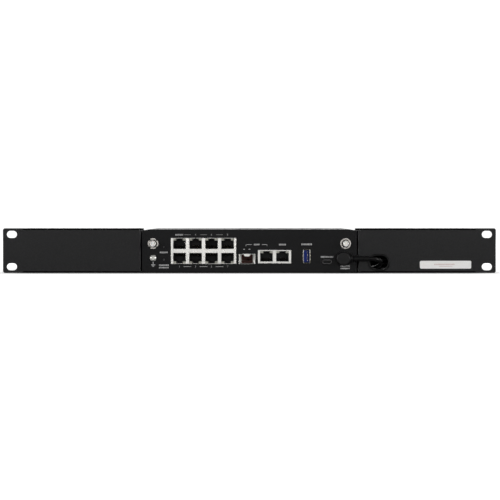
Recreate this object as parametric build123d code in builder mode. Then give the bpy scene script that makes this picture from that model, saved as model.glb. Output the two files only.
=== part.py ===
from build123d import *
import os
from math import cos, pi, radians, sin, tan

# Desktop firewall held port side forward in a 1U kit for 19-inch racks, with its power adapter behind the
# right wing. Millimetres. The origin is the centre of the four ear slots on the ears' rear face, which
# bears on the rack's rails. +X runs along the panel, -Y points out of the rack and +Z is up.

os.makedirs("parts", exist_ok=True)

# Rack tray
PANEL_HALF_WIDTH = 241.3
PANEL_HALF_HEIGHT = 21.85
SHEET = 1.2
OUTER_BEND = 1.6
INNER_BEND = 0.4
EAR_CORNER = 2.0
SLOT_SPACING_X = 465.1
SLOT_SPACING_Z = 31.75
SLOT_LENGTH = 10.0
SLOT_WIDTH = 7.0
PAN_HALF_WIDTH = 220.5
PAN_FRONT = 6.0
TRAY_DEPTH = 235.0
PAN_WALL_HEIGHT = 22.0
REAR_LIP_HEIGHT = 11.2
REAR_LIP_END = 140.0
TOP_FLANGE_DEPTH = 40.0
FLANGE_LIP_X = 103.6
FLANGE_LIP_LOW = 20.1
FLANGE_LIP_DEPTH = 6.0
CHEEK_FACE = 106.1
CHEEK_RELIEF = 2.0
CHEEK_DEPTH = 60.0
CHEEK_Z = (-20.6, 20.05)
BASE_TOP = SHEET - PANEL_HALF_HEIGHT
BASE_BOTTOM = -PANEL_HALF_HEIGHT
PANEL_FRONT = -SHEET

# Cable grommet and sticker on the right wing
GROMMET_X = 126.9
GROMMET_Z = -11.6
GROMMET_WIDTH = 21.5
GROMMET_HEIGHT = 17.0
GROMMET_LIP = 1.0
GROMMET_HOLE_WIDTH = 17.5
GROMMET_HOLE_HEIGHT = 13.0
GROMMET_FLANGE = 1.5
STICKER_X = (167.0, 217.2)
STICKER_Z = (-17.7, -10.0)
STICKER_THICKNESS = 0.15
STICKER_CORNER = 1.3

# Firewall housing
CASE_HALF_WIDTH = 105.0
CASE_BOTTOM = BASE_TOP
CASE_TOP = 20.85
CASE_FRONT = PANEL_FRONT
CASE_SHEET = 1.0
CASE_SLOPE_WIDTH = 7.0
CASE_SLOPE_DROP = 1.2
CHASSIS_REAR = 186.8
BEZEL_REAR = 198.8
BEZEL_WALL = 2.4
FLOOR_TOP = CASE_BOTTOM + CASE_SHEET
FACE_REAR = CASE_FRONT + CASE_SHEET
COVER_UNDERSIDE = CASE_TOP - CASE_SHEET

# Main board
BOARD_TOP = -13.3
BOARD_THICKNESS = 1.6
BOARD_HALF_WIDTH = 97.0
BOARD_FRONT = 1.5
BOARD_REAR = 150.0
BOARD_BOTTOM = BOARD_TOP - BOARD_THICKNESS
BOARD_FIXINGS = ((-90, 35), (90, 62), (-90, 140), (90, 140), (0, 140), (66, 32))
M3_RADIUS = 1.5
M4_RADIUS = 2.0
SCREW_CLEARANCE = 0.05

# RJ45 gangs
GANG_FRONT = CASE_FRONT - 0.5
GANG_REAR = 24.0
GANG_WALL = 0.4
GANG_FACE = 0.6
CAVITY_REAR = 18.0
JACK_PITCH = 15.7
JACK_WIDTH = 12.4
JACK_HEIGHT = 8.0
JACK_STEP_WIDTH = 6.2
JACK_STEP_HEIGHT = 1.0
JACK_NOTCH_WIDTH = 4.3
JACK_NOTCH_HEIGHT = 1.2
JACK_MOUTH_HEIGHT = JACK_HEIGHT + JACK_STEP_HEIGHT + JACK_NOTCH_HEIGHT
JACK_BLOCK_GAP = 0.1
WINDOW_WIDTH = 3.0
WINDOW_HEIGHT = 2.0
WINDOW_DEPTH = 8.0
WINDOW_CLEARANCE = 0.05
WINDOW_FRONT = GANG_FRONT + 0.3
CONTACT_PITCH = 1.02
CONTACT_WIDTH = 0.46
CONTACT_THICKNESS = 0.3
CONTACT_RISE = 3.2
CONTACT_FOOT = 2.0
CONTACT_KNEE = 14.6
CONTACTS_PER_JACK = 8
LAN_CENTRE = -44.9
LAN_HALF_WIDTH = 32.0
LAN_Z = (-13.2, 12.5)
LAN_UPPER_FLOOR = 1.65
LAN_LOWER_CEILING = -2.35
LAN_COLUMNS = 4
WAN_CENTRE = 24.6
WAN_HALF_WIDTH = 16.25
WAN_Z = (-12.7, 0.7)
WAN_FLOOR = -10.7
WAN_COLUMNS = 2
# Each socket: its centre, the height of its contact side, and the way its latch notch points.
LAN_COLUMN_X = [LAN_CENTRE + (i - (LAN_COLUMNS - 1) / 2) * JACK_PITCH for i in range(LAN_COLUMNS)]
WAN_COLUMN_X = [WAN_CENTRE + (i - (WAN_COLUMNS - 1) / 2) * JACK_PITCH for i in range(WAN_COLUMNS)]
LAN_JACKS = [(x, LAN_UPPER_FLOOR, 1) for x in LAN_COLUMN_X]
LAN_JACKS += [(x, LAN_LOWER_CEILING, -1) for x in LAN_COLUMN_X]
WAN_JACKS = [(x, WAN_FLOOR, 1) for x in WAN_COLUMN_X]

# Other ports
PORT_FRONT = CASE_FRONT - 0.5
PANEL_GAP = 0.15
SFP_X = (-10.2, 5.6)
SFP_Z = (-13.2, -3.2)
SFP_REAR = 46.0
SFP_WALL = 0.3
SFP_LIP = 0.3
SFP_FLOOR_END = 34.0
SFP_TAB_HALF_WIDTHS = (3.7, 2.2)
SFP_TAB_HEIGHT = 2.1
SFP_TAB_THICKNESS = 0.4
SFP_SLITS = (-8.1, -5.4, -0.8, 1.9)
SFP_SLIT_END = 7.0
USB_X = (52.7, 59.5)
USB_Z = (-12.2, 1.0)
USB_REAR = 16.0
USB_WALL = 0.35
USB_LEG_Y = (4, 12)
CONSOLE_X = 76.05
CONSOLE_Z = -10.9
CONSOLE_WIDTH = 9.0
CONSOLE_HEIGHT = 3.6
CONSOLE_REAR = 6.5
POWER_X = 91.7
POWER_Z = -7.8
POWER_COLLAR_RADIUS = 4.0
POWER_BORE_RADIUS = 3.0
POWER_REAR = 14.0

# Aerial jacks and earth screw
AERIAL_X = 94.2
AERIAL_Z = 6.9
AERIAL_TIP = -10.0
AERIAL_RADIUS = 3.15
AERIAL_THREAD_PITCH = 0.7
AERIAL_THREAD_DEPTH = 0.25
AERIAL_BORE = 2.3
AERIAL_WASHER_RADIUS = 5.2
AERIAL_WASHER = 0.6
AERIAL_NUT = 2.2
AERIAL_NUT_FLATS = 7.6
AERIAL_NUT_FRONT_RADIUS = 3.4
AERIAL_NUT_REAR_RADIUS = 5.8
AERIAL_NOTCH = 1.8
AERIAL_NOTCH_ROOT = 4.4
AERIAL_NOTCHES = 4
AERIAL_TAIL_REAR = 8.0
EARTH_X = -94.2
EARTH_Z = -7.4
EARTH_SCREW_RADIUS = 1.5

# Recessed buttons
BUTTON_X = -83.7
RESET_Z = 3.5
DEFAULT_Z = -8.8
PINHOLE_RADIUS = 1.0
BUTTON_RADIUS = 1.7
BUTTON_FRONT = 1.2
BUTTON_REAR = 5.4
SWITCH_SIZE = 6.0
SWITCH_FRONT = 2.8
SWITCH_REAR = 6.2
SWITCH_BORE_REAR = 5.9
BUTTON_CLEARANCE = 0.06

# Power adapter
ADAPTER_X = 179.0
ADAPTER_WIDTH = 54.0
ADAPTER_FRONT = 110.0
ADAPTER_REAR = 222.0
ADAPTER_HEIGHT = 32.0
ADAPTER_SEAM = BASE_TOP + ADAPTER_HEIGHT / 2
ADAPTER_WALL = 2.0
ADAPTER_CORNER = 5.0
ADAPTER_EDGE = 2.0
INLET_HALF_WIDTH = 14.0
INLET_HALF_HEIGHT = 10.0
INLET_FRONT = 203.0
BRACKET_Y = (130.0, 195.0)
BRACKET_WIDTH = 20.0
BRACKET_FOOT = 11.0
BRACKET_GAP = 0.2

# Power lead
LEAD_DIAMETER = 4.0
LEAD_RADIUS = LEAD_DIAMETER / 2
PLUG_RADIUS = 7.0
PLUG_Y = (-12.4, -1.6)
PLUG_AXIS_Y = -7.2
PLUG_BARREL_RADIUS = 2.75
PLUG_BARREL_BORE = 1.25
PLUG_BARREL_END = 8.0
RELIEF_END = 116.5
ADAPTER_RELIEF_END = 92.0
HANK_CENTRE = (166.0, 46.0)
HANK_RUN = 66.0
HANK_FOLD_RADIUS = 12.0
HANK_ROWS = 4
TIE_THICKNESS = 0.8
TIE_WIDTH = 12.0
HANK_BOTTOM = BASE_TOP + TIE_THICKNESS
HANK_TOP = HANK_BOTTOM + HANK_ROWS * LEAD_DIAMETER
HANK_HALF_WIDTH = HANK_FOLD_RADIUS + LEAD_DIAMETER
FIRST_ROW_Z = HANK_BOTTOM + LEAD_RADIUS
LAST_ROW_Z = HANK_TOP - LEAD_RADIUS
FRONT_ROUTE = (
    (RELIEF_END, PLUG_AXIS_Y, POWER_Z),
    (123.6, PLUG_AXIS_Y, POWER_Z),
    (128.6, -3.0, -10.2),
    (128.6, 2.4, -14.0),
    (124.2, 7.4, -16.6),
    (120.4, 15.6, -17.7),
    (118.7, 26.4, FIRST_ROW_Z),
    (119.0, 38.0, FIRST_ROW_Z),
)
REAR_ROUTE = (
    (133.0, 60.0, LAST_ROW_Z),
    (149.0, 60.6, -5.9),
    (163.5, 66.2, -7.0),
    (174.5, 75.0, -7.0),
    (179.0, 84.0, -5.2),
    (179.0, ADAPTER_RELIEF_END, ADAPTER_SEAM),
)

# Feet, and the screws through the tray's base.
FOOT_PLACES = [(x, y) for x in (-92, 92) for y in (18, 172)]
FOOT_RADIUS = 6.0
FOOT_HOLE_RADIUS = 6.5
FOOT_EDGE = 0.3
BASE_SCREW_PLACES = [(x, y) for x in (-88, 88) for y in (48, 126)]
BASE_SCREW_HEAD_RADIUS = M3_RADIUS + SHEET
CLAMP_PLACES = [(x, 209.6) for x in (-80, 80)]
BRACKET_SCREW_X = (
    ADAPTER_X - ADAPTER_WIDTH / 2 - BRACKET_GAP - SHEET - BRACKET_FOOT / 2,
    ADAPTER_X + ADAPTER_WIDTH / 2 + BRACKET_GAP + SHEET + BRACKET_FOOT / 2,
)
TRAY_SCREW_PLACES = CLAMP_PLACES + [(x, y) for x in BRACKET_SCREW_X for y in BRACKET_Y]

# Cover: side screws and vents, as pitches and counts along two directions, and the rear's light pipes.
COVER_SCREW_Y = (80, 125, 170)
COVER_SCREW_Z = -16.0
SIDE_FLANGE_TOP = -12.0
LIGHT_PIPE_RADIUS = 1.5
LIGHT_PIPES = [(-50 + 9 * i, 6.0) for i in range(12)]
LIGHT_PIPE_START = 182.0
LIGHT_PIPE_DOME = 0.4
LIGHT_BAR_DEPTH = 2.0
VENT_WIDTH = 2.6
SIDE_VENT_LENGTH = 12.0
SIDE_VENT_CENTRE = (120, 6)
SIDE_VENT_PITCH = (16, 7)
SIDE_VENT_COUNT = (8, 3)
TOP_VENT_LENGTH = 26.0
TOP_VENT_CENTRE = (32, 96)
TOP_VENT_PITCH = (31, 9)
TOP_VENT_COUNT = (3, 9)

# Electronics on the main board, and the radio card with its two aerial leads.
PROCESSOR_CENTRE = (32.0, 92.0)
PROCESSOR_HALF = 14.0
NETWORK_CHIPS = ((-45, 52, 11, 1.8), (24, 36, 5, 1.2), (-14, 60, 6, 1.2), (60, 44, 5, 1.2))
MEMORY_CHIPS = [(-20, 76 + 14 * i) for i in range(4)]
COILS = ((80, 84), (80, 98), (80, 112), (-30, 30))
CAPACITORS = ((82, 24), (82, 34), (82, 44), (92, 84), (92, 96), (92, 108))
CELL_CENTRE = (-70, 128)
CARD_X = (-88.0, -58.0)
CARD_Y = (62.0, 112.0)
CARD_Z = (-9.3, -8.5)
CARD_SOCKET_DEPTH = 6.0
AERIAL_LEAD_RADIUS = 0.9
AERIAL_PLUG_RADIUS = 1.6
AERIAL_PLUG_HEIGHT = 2.2
LEFT_AERIAL_ROUTE = (
    (-AERIAL_X, AERIAL_TAIL_REAR, AERIAL_Z),
    (-AERIAL_X, 22, AERIAL_Z),
    (-93, 37, 4.5),
    (-89, 52, -1),
    (-82, 66, -6),
    (-78, 76, -7.4),
)
RIGHT_AERIAL_ROUTE = (
    (AERIAL_X, AERIAL_TAIL_REAR, AERIAL_Z),
    (AERIAL_X, 24, AERIAL_Z),
    (82, 46, 7),
    (50, 50, 4),
    (18, 48, 2),
    (-14, 50, 3),
    (-42, 58, 1),
    (-60, 68, -5),
    (-68, 76, -7.4),
)


def front_plane(y):
    """Sketch plane that faces the front at depth y: its x is +X and its y is +Z."""
    return Plane.XZ.offset(-y)


def block(x, y, z, mode=Mode.ADD):
    """Box between the low and high ends given for each axis."""
    with Locations(((x[0] + x[1]) / 2, (y[0] + y[1]) / 2, (z[0] + z[1]) / 2)):
        Box(x[1] - x[0], y[1] - y[0], z[1] - z[0], mode=mode)


def rod_y(x, z, radius, y, mode=Mode.ADD):
    """Cylinder along Y."""
    with Locations(Location((x, (y[0] + y[1]) / 2, z), (90, 0, 0))):
        Cylinder(radius, y[1] - y[0], mode=mode)


def rod_z(x, y, radius, z, mode=Mode.ADD):
    """Cylinder along Z."""
    with Locations((x, y, (z[0] + z[1]) / 2)):
        Cylinder(radius, z[1] - z[0], mode=mode)


def cone_z(x, y, low_radius, high_radius, z, mode=Mode.ADD):
    """Cone along Z between two radii."""
    with Locations((x, y, (z[0] + z[1]) / 2)):
        Cone(low_radius, high_radius, z[1] - z[0], mode=mode)


def ends(centre, half):
    """Low and high ends of a span around a centre."""
    return (centre - half, centre + half)


def save(piece, name):
    """Label a finished sub-part and write it as its own file."""
    piece.part.label = name
    export_step(piece.part, f"parts/{name}.step")


# ---------------------------------------------------------------- rack kit

def make_rack_tray():
    wing_start = CHEEK_FACE + CHEEK_RELIEF
    with BuildPart() as tray:
        # Channel of one wing: top flange, panel and the front strip of the base.
        with BuildSketch(Plane.YZ.offset(wing_start)) as channel:
            with BuildLine():
                Polyline(
                    (TOP_FLANGE_DEPTH, PANEL_HALF_HEIGHT),
                    (PANEL_FRONT, PANEL_HALF_HEIGHT),
                    (PANEL_FRONT, BASE_BOTTOM),
                    (PAN_FRONT, BASE_BOTTOM),
                    (PAN_FRONT, BASE_TOP),
                    (0, BASE_TOP),
                    (0, -BASE_TOP),
                    (TOP_FLANGE_DEPTH, -BASE_TOP),
                    close=True,
                )
            make_face()
            fillet(channel.vertices().group_by(Axis.X)[0], OUTER_BEND)
            fillet(channel.vertices().group_by(Axis.X)[1].filter_by_position(
                Axis.Y, -PANEL_HALF_HEIGHT + SHEET, PANEL_HALF_HEIGHT - SHEET), INNER_BEND)
        extrude(amount=PAN_HALF_WIDTH - wing_start)
        # Cheek folded back from the wing's inner edge.
        with BuildSketch(Plane.XY.offset(CHEEK_Z[0])) as cheek:
            with BuildLine():
                Polyline(
                    (wing_start, PANEL_FRONT),
                    (CHEEK_FACE, PANEL_FRONT),
                    (CHEEK_FACE, CHEEK_DEPTH),
                    (CHEEK_FACE + SHEET, CHEEK_DEPTH),
                    (CHEEK_FACE + SHEET, 0),
                    (wing_start, 0),
                    close=True,
                )
            make_face()
            fillet(cheek.vertices().group_by(Axis.Y)[0].sort_by(Axis.X)[0], OUTER_BEND)
        extrude(amount=CHEEK_Z[1] - CHEEK_Z[0])
        # Lip that carries the top flange over the firewall's sloped edge.
        with BuildSketch(Plane.YZ.offset(FLANGE_LIP_X)) as lip:
            with BuildLine():
                Polyline(
                    (FLANGE_LIP_DEPTH, PANEL_HALF_HEIGHT),
                    (PANEL_FRONT, PANEL_HALF_HEIGHT),
                    (PANEL_FRONT, FLANGE_LIP_LOW),
                    (0, FLANGE_LIP_LOW),
                    (0, -BASE_TOP),
                    (FLANGE_LIP_DEPTH, -BASE_TOP),
                    close=True,
                )
            make_face()
            fillet(lip.vertices().group_by(Axis.X)[0].sort_by(Axis.Y)[-1], OUTER_BEND)
            fillet(lip.vertices().group_by(Axis.X)[1].sort_by(Axis.Y)[-1], INNER_BEND)
        extrude(amount=wing_start - FLANGE_LIP_X)
        # Flat ear.
        with BuildSketch(front_plane(0)) as ear:
            with Locations(((PAN_HALF_WIDTH + PANEL_HALF_WIDTH) / 2, 0)):
                Rectangle(PANEL_HALF_WIDTH - PAN_HALF_WIDTH, 2 * PANEL_HALF_HEIGHT)
            fillet(ear.vertices().group_by(Axis.X)[-1], EAR_CORNER)
        extrude(amount=SHEET)
        mirror(about=Plane.YZ)
        # Pan: the base with a wall folded up along each side.
        with BuildSketch(front_plane(TRAY_DEPTH)) as pan:
            wall_top = BASE_BOTTOM + PAN_WALL_HEIGHT
            with BuildLine():
                Polyline(
                    (-PAN_HALF_WIDTH, wall_top),
                    (-PAN_HALF_WIDTH, BASE_BOTTOM),
                    (PAN_HALF_WIDTH, BASE_BOTTOM),
                    (PAN_HALF_WIDTH, wall_top),
                    (PAN_HALF_WIDTH - SHEET, wall_top),
                    (PAN_HALF_WIDTH - SHEET, BASE_TOP),
                    (SHEET - PAN_HALF_WIDTH, BASE_TOP),
                    (SHEET - PAN_HALF_WIDTH, wall_top),
                    close=True,
                )
            make_face()
            fillet(pan.vertices().group_by(Axis.Y)[0], OUTER_BEND)
            fillet(pan.vertices().filter_by_position(Axis.Y, BASE_TOP - INNER_BEND / 2,
                                                     BASE_TOP + INNER_BEND / 2), INNER_BEND)
        extrude(amount=TRAY_DEPTH - PAN_FRONT)
        block(ends(0, wing_start), (PANEL_FRONT, PAN_FRONT), (BASE_BOTTOM, BASE_TOP))
        # Stiffening lip along the rear edge, left out behind the adapter's mains inlet.
        block((SHEET - PAN_HALF_WIDTH, REAR_LIP_END), (TRAY_DEPTH - SHEET, TRAY_DEPTH),
              (BASE_TOP, BASE_BOTTOM + REAR_LIP_HEIGHT))
        # Slots of the ears and the opening of the cable grommet.
        with BuildSketch(front_plane(0)):
            with GridLocations(SLOT_SPACING_X, SLOT_SPACING_Z, 2, 2):
                SlotOverall(SLOT_LENGTH, SLOT_WIDTH)
            with Locations((GROMMET_X, GROMMET_Z)):
                SlotOverall(GROMMET_WIDTH - 2 * GROMMET_LIP, GROMMET_HEIGHT - 2 * GROMMET_LIP)
        extrude(amount=SHEET, mode=Mode.SUBTRACT)
        cut_base_openings()
    save(tray, "rack_tray")


def cut_base_openings():
    """Vents, feet holes, screw holes and cable-tie slots of the tray's base."""
    vent_length, vent_width, vent_pitch_x, vent_pitch_y = 30, 4, 42, 14
    tie_length, tie_width, tie_pitch_x, tie_pitch_y = 14, 4, 60, 70
    base = (BASE_BOTTOM, BASE_TOP)
    middle = (BASE_BOTTOM + BASE_TOP) / 2
    for length, width, pitch_x, pitch_y, columns, rows, x, y in (
        (vent_length, vent_width, vent_pitch_x, vent_pitch_y, 4, 8, 0, 96),
        (tie_length, tie_width, tie_pitch_x, tie_pitch_y, 2, 3, -163, 110),
    ):
        with Locations((x, y, middle)):
            with GridLocations(pitch_x, pitch_y, columns, rows):
                Box(length - width, width, SHEET, mode=Mode.SUBTRACT)
                with Locations((-(length - width) / 2, 0, 0), ((length - width) / 2, 0, 0)):
                    Cylinder(width / 2, SHEET, mode=Mode.SUBTRACT)
    for x, y in FOOT_PLACES:
        rod_z(x, y, FOOT_HOLE_RADIUS, base, Mode.SUBTRACT)
    for x, y in BASE_SCREW_PLACES:
        cone_z(x, y, BASE_SCREW_HEAD_RADIUS + SCREW_CLEARANCE, M3_RADIUS + SCREW_CLEARANCE, base,
               Mode.SUBTRACT)
    for x, y in TRAY_SCREW_PLACES:
        rod_z(x, y, M4_RADIUS + SCREW_CLEARANCE, base, Mode.SUBTRACT)


def make_cable_grommet():
    neck_width = GROMMET_WIDTH - 2 * GROMMET_LIP
    neck_height = GROMMET_HEIGHT - 2 * GROMMET_LIP
    edge = 0.7
    with BuildPart() as grommet:
        for y, width, height, depth in (
            (PANEL_FRONT, GROMMET_WIDTH, GROMMET_HEIGHT, GROMMET_FLANGE),
            (0, neck_width, neck_height, SHEET),
            (GROMMET_FLANGE, GROMMET_WIDTH, GROMMET_HEIGHT, GROMMET_FLANGE),
        ):
            with BuildSketch(front_plane(y)):
                with Locations((GROMMET_X, GROMMET_Z)):
                    SlotOverall(width, height)
            extrude(amount=depth)
        with BuildSketch(front_plane(GROMMET_FLANGE)):
            with Locations((GROMMET_X, GROMMET_Z)):
                SlotOverall(GROMMET_HOLE_WIDTH, GROMMET_HOLE_HEIGHT)
        extrude(amount=2 * GROMMET_FLANGE + SHEET, mode=Mode.SUBTRACT)
        fillet(grommet.faces().sort_by(Axis.Y)[0].edges(), edge)
        fillet(grommet.faces().sort_by(Axis.Y)[-1].edges(), edge)
    save(grommet, "cable_grommet")


def make_wing_sticker():
    with BuildPart() as sticker:
        with BuildSketch(front_plane(PANEL_FRONT)):
            with Locations((sum(STICKER_X) / 2, sum(STICKER_Z) / 2)):
                RectangleRounded(STICKER_X[1] - STICKER_X[0], STICKER_Z[1] - STICKER_Z[0], STICKER_CORNER)
        extrude(amount=STICKER_THICKNESS)
    save(sticker, "wing_sticker")


def make_rear_clamps():
    """Two angle brackets that stop the firewall sliding back."""
    half_width, gap, height, foot = 16, 0.2, 26, 18
    slot_length, corner = 9, 3
    rear = BEZEL_REAR + gap
    with BuildPart() as clamps:
        for x, y in CLAMP_PLACES:
            block(ends(x, half_width), (rear, rear + SHEET), (BASE_TOP, BASE_TOP + height))
            block(ends(x, half_width), (rear, rear + foot), (BASE_TOP, BASE_TOP + SHEET))
            with Locations((x, y, BASE_TOP + SHEET / 2)):
                Box(2 * M4_RADIUS, slot_length - 2 * M4_RADIUS, SHEET, mode=Mode.SUBTRACT)
            for end in ends(y, slot_length / 2 - M4_RADIUS):
                rod_z(x, end, M4_RADIUS, (BASE_TOP, BASE_TOP + SHEET), Mode.SUBTRACT)
        fillet(clamps.edges().filter_by(Axis.Y).group_by(Axis.Z)[-1], corner)
        fillet(clamps.edges().filter_by(Axis.Z).group_by(Axis.Y)[-1], corner)
    save(clamps, "rear_clamps")


def make_adapter_brackets():
    """Two hat-shaped straps of sheet that hold the adapter down."""
    inner = ADAPTER_WIDTH / 2 + BRACKET_GAP
    outer = inner + SHEET
    reach = outer + BRACKET_FOOT
    under = BASE_TOP + ADAPTER_HEIGHT + BRACKET_GAP
    with BuildPart() as brackets:
        planes = [front_plane(y + BRACKET_WIDTH / 2) for y in BRACKET_Y]
        with BuildSketch(*planes) as hat:
            with BuildLine():
                right = [
                    (inner, under), (inner, BASE_TOP), (reach, BASE_TOP), (reach, BASE_TOP + SHEET),
                    (outer, BASE_TOP + SHEET), (outer, under + SHEET),
                ]
                outline = [(ADAPTER_X + x, z) for x, z in right]
                outline += [(ADAPTER_X - x, z) for x, z in reversed(right)]
                Polyline(*outline, close=True)
            make_face()
            fillet(hat.vertices().group_by(Axis.Y)[-1], OUTER_BEND)
        extrude(amount=BRACKET_WIDTH)
        for x in BRACKET_SCREW_X:
            for y in BRACKET_Y:
                rod_z(x, y, M4_RADIUS + SCREW_CLEARANCE, (BASE_TOP, BASE_TOP + SHEET), Mode.SUBTRACT)
    save(brackets, "adapter_brackets")


def pan_screw(x, y, seat, head_radius, head_height, radius, tip):
    """Pan-head screw along Z with a crossed recess, its head standing on the height seat."""
    recess_length, recess_width, recess_depth = head_radius, 0.9, head_height * 0.55
    rod_z(x, y, head_radius, (seat, seat + head_height))
    rod_z(x, y, radius, (tip, seat))
    recess = (seat + head_height - recess_depth, seat + head_height)
    block(ends(x, recess_length / 2), ends(y, recess_width / 2), recess, Mode.SUBTRACT)
    block(ends(x, recess_width / 2), ends(y, recess_length / 2), recess, Mode.SUBTRACT)


def make_tray_screws():
    """Pan-head screws of the clamps and brackets, and countersunk screws into the firewall's floor."""
    head_radius, head_height = 3.8, 2.4
    tip, recess_depth, recess_width = -16.4, 0.8, 0.8
    with BuildPart() as screws:
        for x, y in TRAY_SCREW_PLACES:
            pan_screw(x, y, BASE_TOP + SHEET, head_radius, head_height, M4_RADIUS - SCREW_CLEARANCE,
                      BASE_BOTTOM)
        for x, y in BASE_SCREW_PLACES:
            cone_z(x, y, BASE_SCREW_HEAD_RADIUS, M3_RADIUS, (BASE_BOTTOM, BASE_TOP))
            rod_z(x, y, M3_RADIUS, (BASE_TOP, tip))
            recess = (BASE_BOTTOM, BASE_BOTTOM + recess_depth)
            block(ends(x, M3_RADIUS), ends(y, recess_width / 2), recess, Mode.SUBTRACT)
            block(ends(x, recess_width / 2), ends(y, M3_RADIUS), recess, Mode.SUBTRACT)
    save(screws, "tray_screws")


# ---------------------------------------------------------------- firewall housing

def case_section(y, half_width, low, high):
    """Section of the case at depth y: level on top, with a shallow slope down to each side."""
    level, shoulder = half_width - CASE_SLOPE_WIDTH, high - CASE_SLOPE_DROP
    with BuildSketch(front_plane(y)) as section:
        with BuildLine():
            Polyline((-half_width, low), (-half_width, shoulder), (-level, high), (level, high),
                     (half_width, shoulder), (half_width, low), close=True)
        make_face()
    return section.sketch


def cut_face_openings():
    """Openings of the port face, as rectangles and round holes."""
    face = (CASE_FRONT, FACE_REAR)
    console_x = ends(CONSOLE_X, CONSOLE_WIDTH / 2)
    console_z = ends(CONSOLE_Z, CONSOLE_HEIGHT / 2)
    for x, z in (
        (ends(LAN_CENTRE, LAN_HALF_WIDTH), LAN_Z),
        (ends(WAN_CENTRE, WAN_HALF_WIDTH), WAN_Z),
        (SFP_X, SFP_Z),
        (USB_X, USB_Z),
        (console_x, console_z),
    ):
        block((x[0] - PANEL_GAP, x[1] + PANEL_GAP), face, (z[0] - PANEL_GAP, z[1] + PANEL_GAP), Mode.SUBTRACT)
    for x, z, radius in (
        (POWER_X, POWER_Z, POWER_COLLAR_RADIUS + PANEL_GAP),
        (-AERIAL_X, AERIAL_Z, AERIAL_RADIUS + PANEL_GAP),
        (AERIAL_X, AERIAL_Z, AERIAL_RADIUS + PANEL_GAP),
        (EARTH_X, EARTH_Z, EARTH_SCREW_RADIUS + SCREW_CLEARANCE),
        (BUTTON_X, RESET_Z, PINHOLE_RADIUS),
        (BUTTON_X, DEFAULT_Z, PINHOLE_RADIUS),
    ):
        rod_y(x, z, radius, face, Mode.SUBTRACT)


def make_lower_chassis():
    flange_depth, flange_side_gap = 8, 0.5
    inner_wall = (CASE_HALF_WIDTH - 2 * CASE_SHEET, CASE_HALF_WIDTH - CASE_SHEET)
    flange_x = ends(0, inner_wall[1] - CASE_SLOPE_WIDTH - flange_side_gap)
    rear_wall = (CHASSIS_REAR - CASE_SHEET, CHASSIS_REAR)
    under_cover = (COVER_UNDERSIDE - CASE_SHEET, COVER_UNDERSIDE)
    with BuildPart() as chassis:
        extrude(case_section(FACE_REAR, CASE_HALF_WIDTH, CASE_BOTTOM, CASE_TOP), amount=CASE_SHEET)
        block(ends(0, CASE_HALF_WIDTH), (FACE_REAR, CHASSIS_REAR), (CASE_BOTTOM, FLOOR_TOP))
        extrude(case_section(CHASSIS_REAR, inner_wall[1], FLOOR_TOP, COVER_UNDERSIDE), amount=CASE_SHEET)
        block(flange_x, (FACE_REAR, FACE_REAR + flange_depth), under_cover)
        block(flange_x, (rear_wall[0] - flange_depth, rear_wall[0]), under_cover)
        for side in (-1, 1):
            wall = sorted(side * x for x in inner_wall)
            block(wall, (FACE_REAR, rear_wall[0]), (FLOOR_TOP, SIDE_FLANGE_TOP))
            for y in COVER_SCREW_Y:
                with Locations(Location((sum(wall) / 2, y, COVER_SCREW_Z), (0, 90, 0))):
                    Cylinder(M3_RADIUS + SCREW_CLEARANCE, CASE_SHEET, mode=Mode.SUBTRACT)
        cut_face_openings()
        for x, y in BASE_SCREW_PLACES:
            rod_z(x, y, M3_RADIUS + SCREW_CLEARANCE, (CASE_BOTTOM, FLOOR_TOP), Mode.SUBTRACT)
        for x, z in LIGHT_PIPES:
            rod_y(x, z, LIGHT_PIPE_RADIUS + PANEL_GAP, rear_wall, Mode.SUBTRACT)
    save(chassis, "lower_chassis")


def make_top_cover():
    inner_half_width = CASE_HALF_WIDTH - CASE_SHEET
    length = CHASSIS_REAR - FACE_REAR
    shoulder, tolerance, shoulder_radius = CASE_TOP - CASE_SLOPE_DROP, 0.01, 0.8
    with BuildPart() as cover:
        extrude(case_section(CHASSIS_REAR, CASE_HALF_WIDTH, FLOOR_TOP, CASE_TOP), amount=length)
        extrude(case_section(CHASSIS_REAR, inner_half_width, FLOOR_TOP, COVER_UNDERSIDE), amount=length,
                mode=Mode.SUBTRACT)
        fillet(cover.edges().filter_by(Axis.Y).filter_by_position(Axis.Z, shoulder - tolerance,
                                                                  shoulder + tolerance), shoulder_radius)
        with BuildSketch(Plane.YZ.offset(-CASE_HALF_WIDTH)):
            with Locations(SIDE_VENT_CENTRE):
                with GridLocations(*SIDE_VENT_PITCH, *SIDE_VENT_COUNT):
                    SlotOverall(SIDE_VENT_LENGTH, VENT_WIDTH)
        extrude(amount=2 * CASE_HALF_WIDTH, mode=Mode.SUBTRACT)
        with BuildSketch(Plane.XY.offset(COVER_UNDERSIDE)):
            with Locations(TOP_VENT_CENTRE):
                with GridLocations(*TOP_VENT_PITCH, *TOP_VENT_COUNT):
                    SlotOverall(TOP_VENT_LENGTH, VENT_WIDTH)
        extrude(amount=CASE_SHEET, mode=Mode.SUBTRACT)
        # Countersunk holes for the side screws.
        for side in (-1, 1):
            for y in COVER_SCREW_Y:
                middle = side * (CASE_HALF_WIDTH - CASE_SHEET / 2)
                place = Location((middle, y, COVER_SCREW_Z), (0, side * 90, 0))
                with Locations(place):
                    Cone(M3_RADIUS + SCREW_CLEARANCE, M3_RADIUS + CASE_SHEET + SCREW_CLEARANCE, CASE_SHEET,
                         mode=Mode.SUBTRACT)
    save(cover, "top_cover")


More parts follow.
